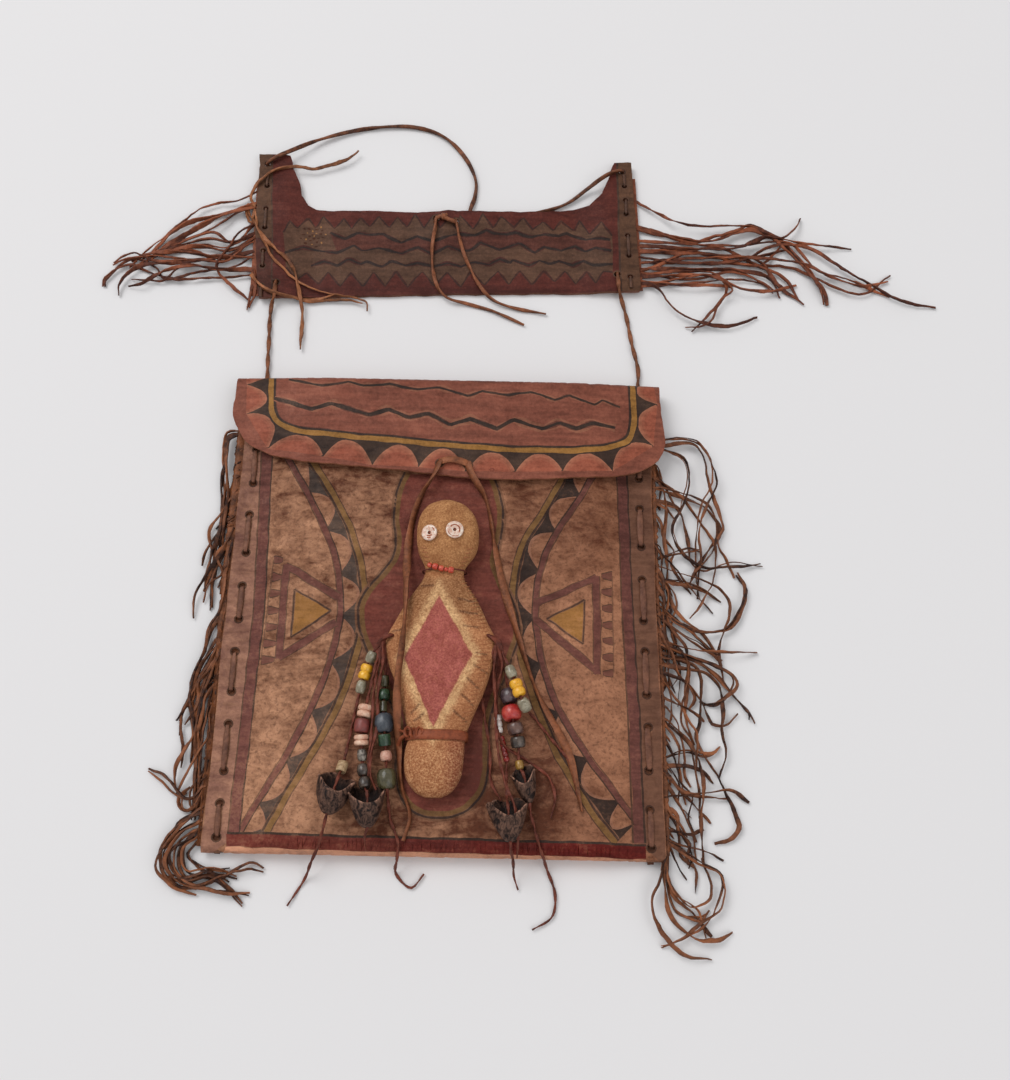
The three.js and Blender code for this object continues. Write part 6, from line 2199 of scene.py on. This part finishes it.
def make_claw(build, radius, long, turn, middle, seed):
    """A dewclaw's hollow cone whose near lip is cut down in a ragged notch, so that its hollow shows."""
    notch_at = -math.pi / 2 + 0.25 * math.sin(seed * 2.1)

    def place(p):
        angle = math.atan2(p.y, p.x)
        share = clamp(p.z / long + 0.5, 0, 1)
        rise = clamp((share - 0.15) / 0.85, 0, 1)
        off = abs((angle - notch_at + math.pi) % (2 * math.pi) - math.pi)
        notch = long * rise * (0.42 * (1 - smooth(off, 0.1, 1.4)) - 0.2 * smooth(off, 1.6, 2.7))
        around = Vector((1.6 * math.cos(angle), 1.6 * math.sin(angle), seed))
        ragged = 1.6 * smooth(share, 0.5, 1) * noise.noise(around)
        lump = 1 + 0.12 * noise.noise(around + UP * (share * 1.5)) + 0.12 * rise * abs(math.cos(angle))
        return turn @ Vector((p.x * CLAW_WIDE * lump, p.y * CLAW_HIGH * lump, p.z + ragged - notch)) + middle

    profile = [(max(BORE, radius * out), long * along) for along, out, _ in CLAW]
    build.lathe(profile, 52, place, [tone for _, _, tone in CLAW])


def above_case(points):
    return [laid(across, down, DEPTH + up) for across, down, up in points]


def make_string(side, number, string, start):
    """A cord with its beads; each bead's stop on the cord's route becomes the two ends of its bore."""
    per_span = 10
    points = [start.copy()] + above_case(string["route"]) + [laid(*p, 1.2) for p in string["tail"]]
    spans = catmull(points, per_span)
    threaded = [[p] for p in points]
    for stop, name, shape, radius, long, finish, slot, *count in string["beads"]:
        at = (stop + 1) * per_span
        tangent = (spans[at - 1] - spans[at + 1]).normalized()
        middle = points[stop + 1]
        threaded[stop + 1] = [middle + tangent * long * end for end in (0.5, -0.5)]
        turn = UP.rotation_difference(tangent)
        build = Build()
        if shape == "claw":
            make_claw(build, radius, long, turn, middle, stop + number * 1.7)
        else:
            tilt = Quaternion((1, 0, 0), 0.1 * math.sin(stop * 5.0 + number))
            profile = bead_profile(shape, radius, long, *count)
            build.lathe(profile, 30, lambda p: turn @ (tilt @ p) + middle)
        build.piece(name, finish, slot, sharp=70)
    way = [p for ends in threaded for p in ends]
    thong(f"dangle_cord_{side}_{number}", way, 2.0, 1.3, "red_thread", [f"dangle_cords_{side}"],
          pitch=18, tip=0.6)


def make_strings():
    for way, side in SIDES:
        cords = [f"dangle_cords_{side}"]
        hole = laid(*ARM_HOLES[side], DEPTH + 8)
        through = [Vector((hole.x, hole.y, DEPTH + z)) for z in (1.6, 6, 12.4)]
        start = Vector((hole.x + way * 4, hole.y - 2.4, DEPTH + 13))
        first = above_case(STRINGS[side][0]["route"][:1])
        build = Build()
        build.tube(curved([*through, start, *first], 1.2), oval(3.8, 2.2, 8),
                   twist=lambda share: share * 4, tone=lambda share: 0.4 + 0.3 * math.sin(share * 12))
        build.piece(f"arm_thong_{side}", "red_thread", nodes=cords)
        for number, string in enumerate(STRINGS[side], 1):
            make_string(side, number, string, start)
        for number, end in enumerate(LOOSE_ENDS[side], 1):
            points = [start + Vector((way * 0.6, -0.8, -0.6)), *above_case(end)]
            thong(f"loose_thread_{side}_{number}", points, 2.0, 1.2, "red_thread", cords, pitch=30,
                  tip=0.6)


# Stage


BACKDROP = srgb(226, 224, 224)
FLOOR_REACH = 6.0
FLOOR_Z = -0.0004
LAMPS = (
    # name, place, aim, size and watts
    ("key", (-2.2, 1.9, 3.7), (0.02, 0.03, 0), 2.8, 104.0),
    ("fill", (2.2, -1.8, 3.6), (0.05, 0.0, 0), 3.4, 40.0),
)


def looked_at(tree):
    """1 where the camera, a mirror or glass looks at the backdrop, 0 where it only lights the part."""
    rays = tree.add("LightPath")
    seen = tree.maths("MAXIMUM", rays["Is Camera Ray"], rays["Is Glossy Ray"])
    return tree.maths("MAXIMUM", seen, rays["Is Transmission Ray"])


def make_floor():
    """A pale floor that fades into the backdrop far from the part."""
    data = bpy.data.meshes.new("floor")
    corners = [(FLOOR_REACH * u, FLOOR_REACH * v, 0) for u, v in ((-1, -1), (1, -1), (1, 1), (-1, 1))]
    data.from_pydata(corners, [], [(0, 1, 2, 3)])
    tree = new_finish("studio_floor")
    near = tree.coated(colour_of("floor"), 0.9, shine=0.1)
    far = tree.add("Emission", {"Color": BACKDROP, "Strength": 1.0})[0]
    away = tree.add("VectorMath", {0: tree.vector()}, operation="LENGTH")["Value"]
    share = tree.times(tree.ranged(away, 0.8, 2.4), looked_at(tree))
    tree.show(tree.add("MixShader", {0: share, 1: near, 2: far})[0])
    data.materials.append(bpy.data.materials["studio_floor finish"])
    ground = placed("floor", data, (0, 0, FLOOR_Z))


def make_world():
    world = bpy.data.worlds.new("studio")
    bpy.context.scene.world = world
    world.use_nodes = True
    world.node_tree.nodes.clear()
    tree = Shading(world.node_tree)
    sky = tree.add("Background", {"Color": (0.97, 0.98, 1.0), "Strength": 0.5})[0]
    backdrop = tree.add("Background", {"Color": BACKDROP, "Strength": 1.0})[0]
    both = tree.add("MixShader", {0: looked_at(tree), 1: sky, 2: backdrop})[0]
    tree.add("OutputWorld", {0: both})


def make_stage():
    make_floor()
    make_world()
    for name, at, aim, size, watts in LAMPS:
        lamp = bpy.data.lights.new(name, "AREA")
        lamp.size = size
        lamp.energy = watts
        placed(name, lamp, at, (Vector(aim) - Vector(at)).to_track_quat("-Z", "Y"))
    lens = bpy.data.cameras.new("camera")
    lens.sensor_width = 36.0
    lens.lens = SKETCH_FOCAL / SKETCH_HEIGHT * lens.sensor_width
    lens.clip_start = 0.01
    back = Vector((0, -math.sin(SKETCH_TILT), math.cos(SKETCH_TILT)))
    at = (Vector((*SKETCH_AIM, 0)) + back * SKETCH_DISTANCE) * MM
    turn = Quaternion(back, SKETCH_ROLL) @ (-back).to_track_quat("-Z", "Y")
    bpy.context.scene.camera = placed("camera", lens, at, turn)
    bpy.context.scene.view_settings.view_transform = "Standard"


# Operators


class ENVELOPE_OT_finishes(bpy.types.Operator):
    """Make the hides, thong leathers, glass, stone, shell and horn"""

    bl_idname = "envelope.finishes"
    bl_label = "Finishes"

    def execute(self, context):
        make_finishes()
        return {"FINISHED"}


class ENVELOPE_OT_stage(bpy.types.Operator):
    """Make the floor, the lights and the camera"""

    bl_idname = "envelope.stage"
    bl_label = "Stage"

    def execute(self, context):
        make_stage()
        return {"FINISHED"}


class ENVELOPE_OT_thongs(bpy.types.Operator):
    """Lay the strap, the ties and the hangers"""

    bl_idname = "envelope.thongs"
    bl_label = "Thongs"

    def execute(self, context):
        make_strap()
        make_band_tie()
        make_hangers()
        make_flap_tie()
        return {"FINISHED"}


class ENVELOPE_OT_strings(bpy.types.Operator):
    """String the beads and dewclaws on the doll's two arms"""

    bl_idname = "envelope.strings"
    bl_label = "Bead strings"

    def execute(self, context):
        make_strings()
        return {"FINISHED"}


class ENVELOPE_OT_hides(bpy.types.Operator):
    """Cut, paint and fold the case, the flap and the carrying band"""

    bl_idname = "envelope.hides"
    bl_label = "Painted hides"

    def execute(self, context):
        make_case()
        make_flap()
        make_band()
        return {"FINISHED"}


class ENVELOPE_OT_lacing(bpy.types.Operator):
    """Lace the case's sides and the band's ends"""

    bl_idname = "envelope.lacing"
    bl_label = "Lacing"

    def execute(self, context):
        make_lacing()
        return {"FINISHED"}


class ENVELOPE_OT_fringes(bpy.types.Operator):
    """Cut the four fringes and let them lie"""

    bl_idname = "envelope.fringes"
    bl_label = "Fringes"

    def execute(self, context):
        for side, name in SIDES:
            make_side_fringe(side, f"side_fringe_{name}")
            make_band_fringe(side, f"band_fringe_{name}")
        return {"FINISHED"}


class ENVELOPE_OT_doll(bpy.types.Operator):
    """Stuff and paint the doll, with its eyes, necklace and belt"""

    bl_idname = "envelope.doll"
    bl_label = "Doll"

    def execute(self, context):
        make_doll_body()
        make_doll_seam()
        make_doll_belt()
        make_doll_eyes()
        make_necklace()
        return {"FINISHED"}


OPERATORS = (
    ENVELOPE_OT_finishes, ENVELOPE_OT_stage, ENVELOPE_OT_thongs, ENVELOPE_OT_strings, ENVELOPE_OT_hides,
    ENVELOPE_OT_lacing, ENVELOPE_OT_fringes, ENVELOPE_OT_doll,
)


class ENVELOPE_PT_panel(bpy.types.Panel):
    """Buttons for each group of pieces"""

    bl_idname = "ENVELOPE_PT_panel"
    bl_label = "Rawhide envelope"
    bl_space_type = "VIEW_3D"
    bl_region_type = "UI"
    bl_category = "Envelope"

    def draw(self, context):
        for kind in OPERATORS:
            self.layout.operator(kind.bl_idname)
        for group in (context.scene.envelope_sizes, context.scene.envelope_colours):
            for name in group.bl_rna.properties.keys():
                if name not in {"rna_type", "name"}:
                    self.layout.prop(group, name)


CLASSES = (EnvelopeSizes, EnvelopeColours, *OPERATORS, ENVELOPE_PT_panel)


def register():
    for kind in CLASSES:
        bpy.utils.register_class(kind)
    bpy.types.Scene.envelope_sizes = bpy.props.PointerProperty(type=EnvelopeSizes)
    bpy.types.Scene.envelope_colours = bpy.props.PointerProperty(type=EnvelopeColours)


def unregister():
    del bpy.types.Scene.envelope_colours
    del bpy.types.Scene.envelope_sizes
    for kind in reversed(CLASSES):
        bpy.utils.unregister_class(kind)


def main():
    register()
    for kind in OPERATORS:
        group, name = kind.bl_idname.split(".")
        getattr(getattr(bpy.ops, group), name)()


if __name__ == "__main__":
    main()
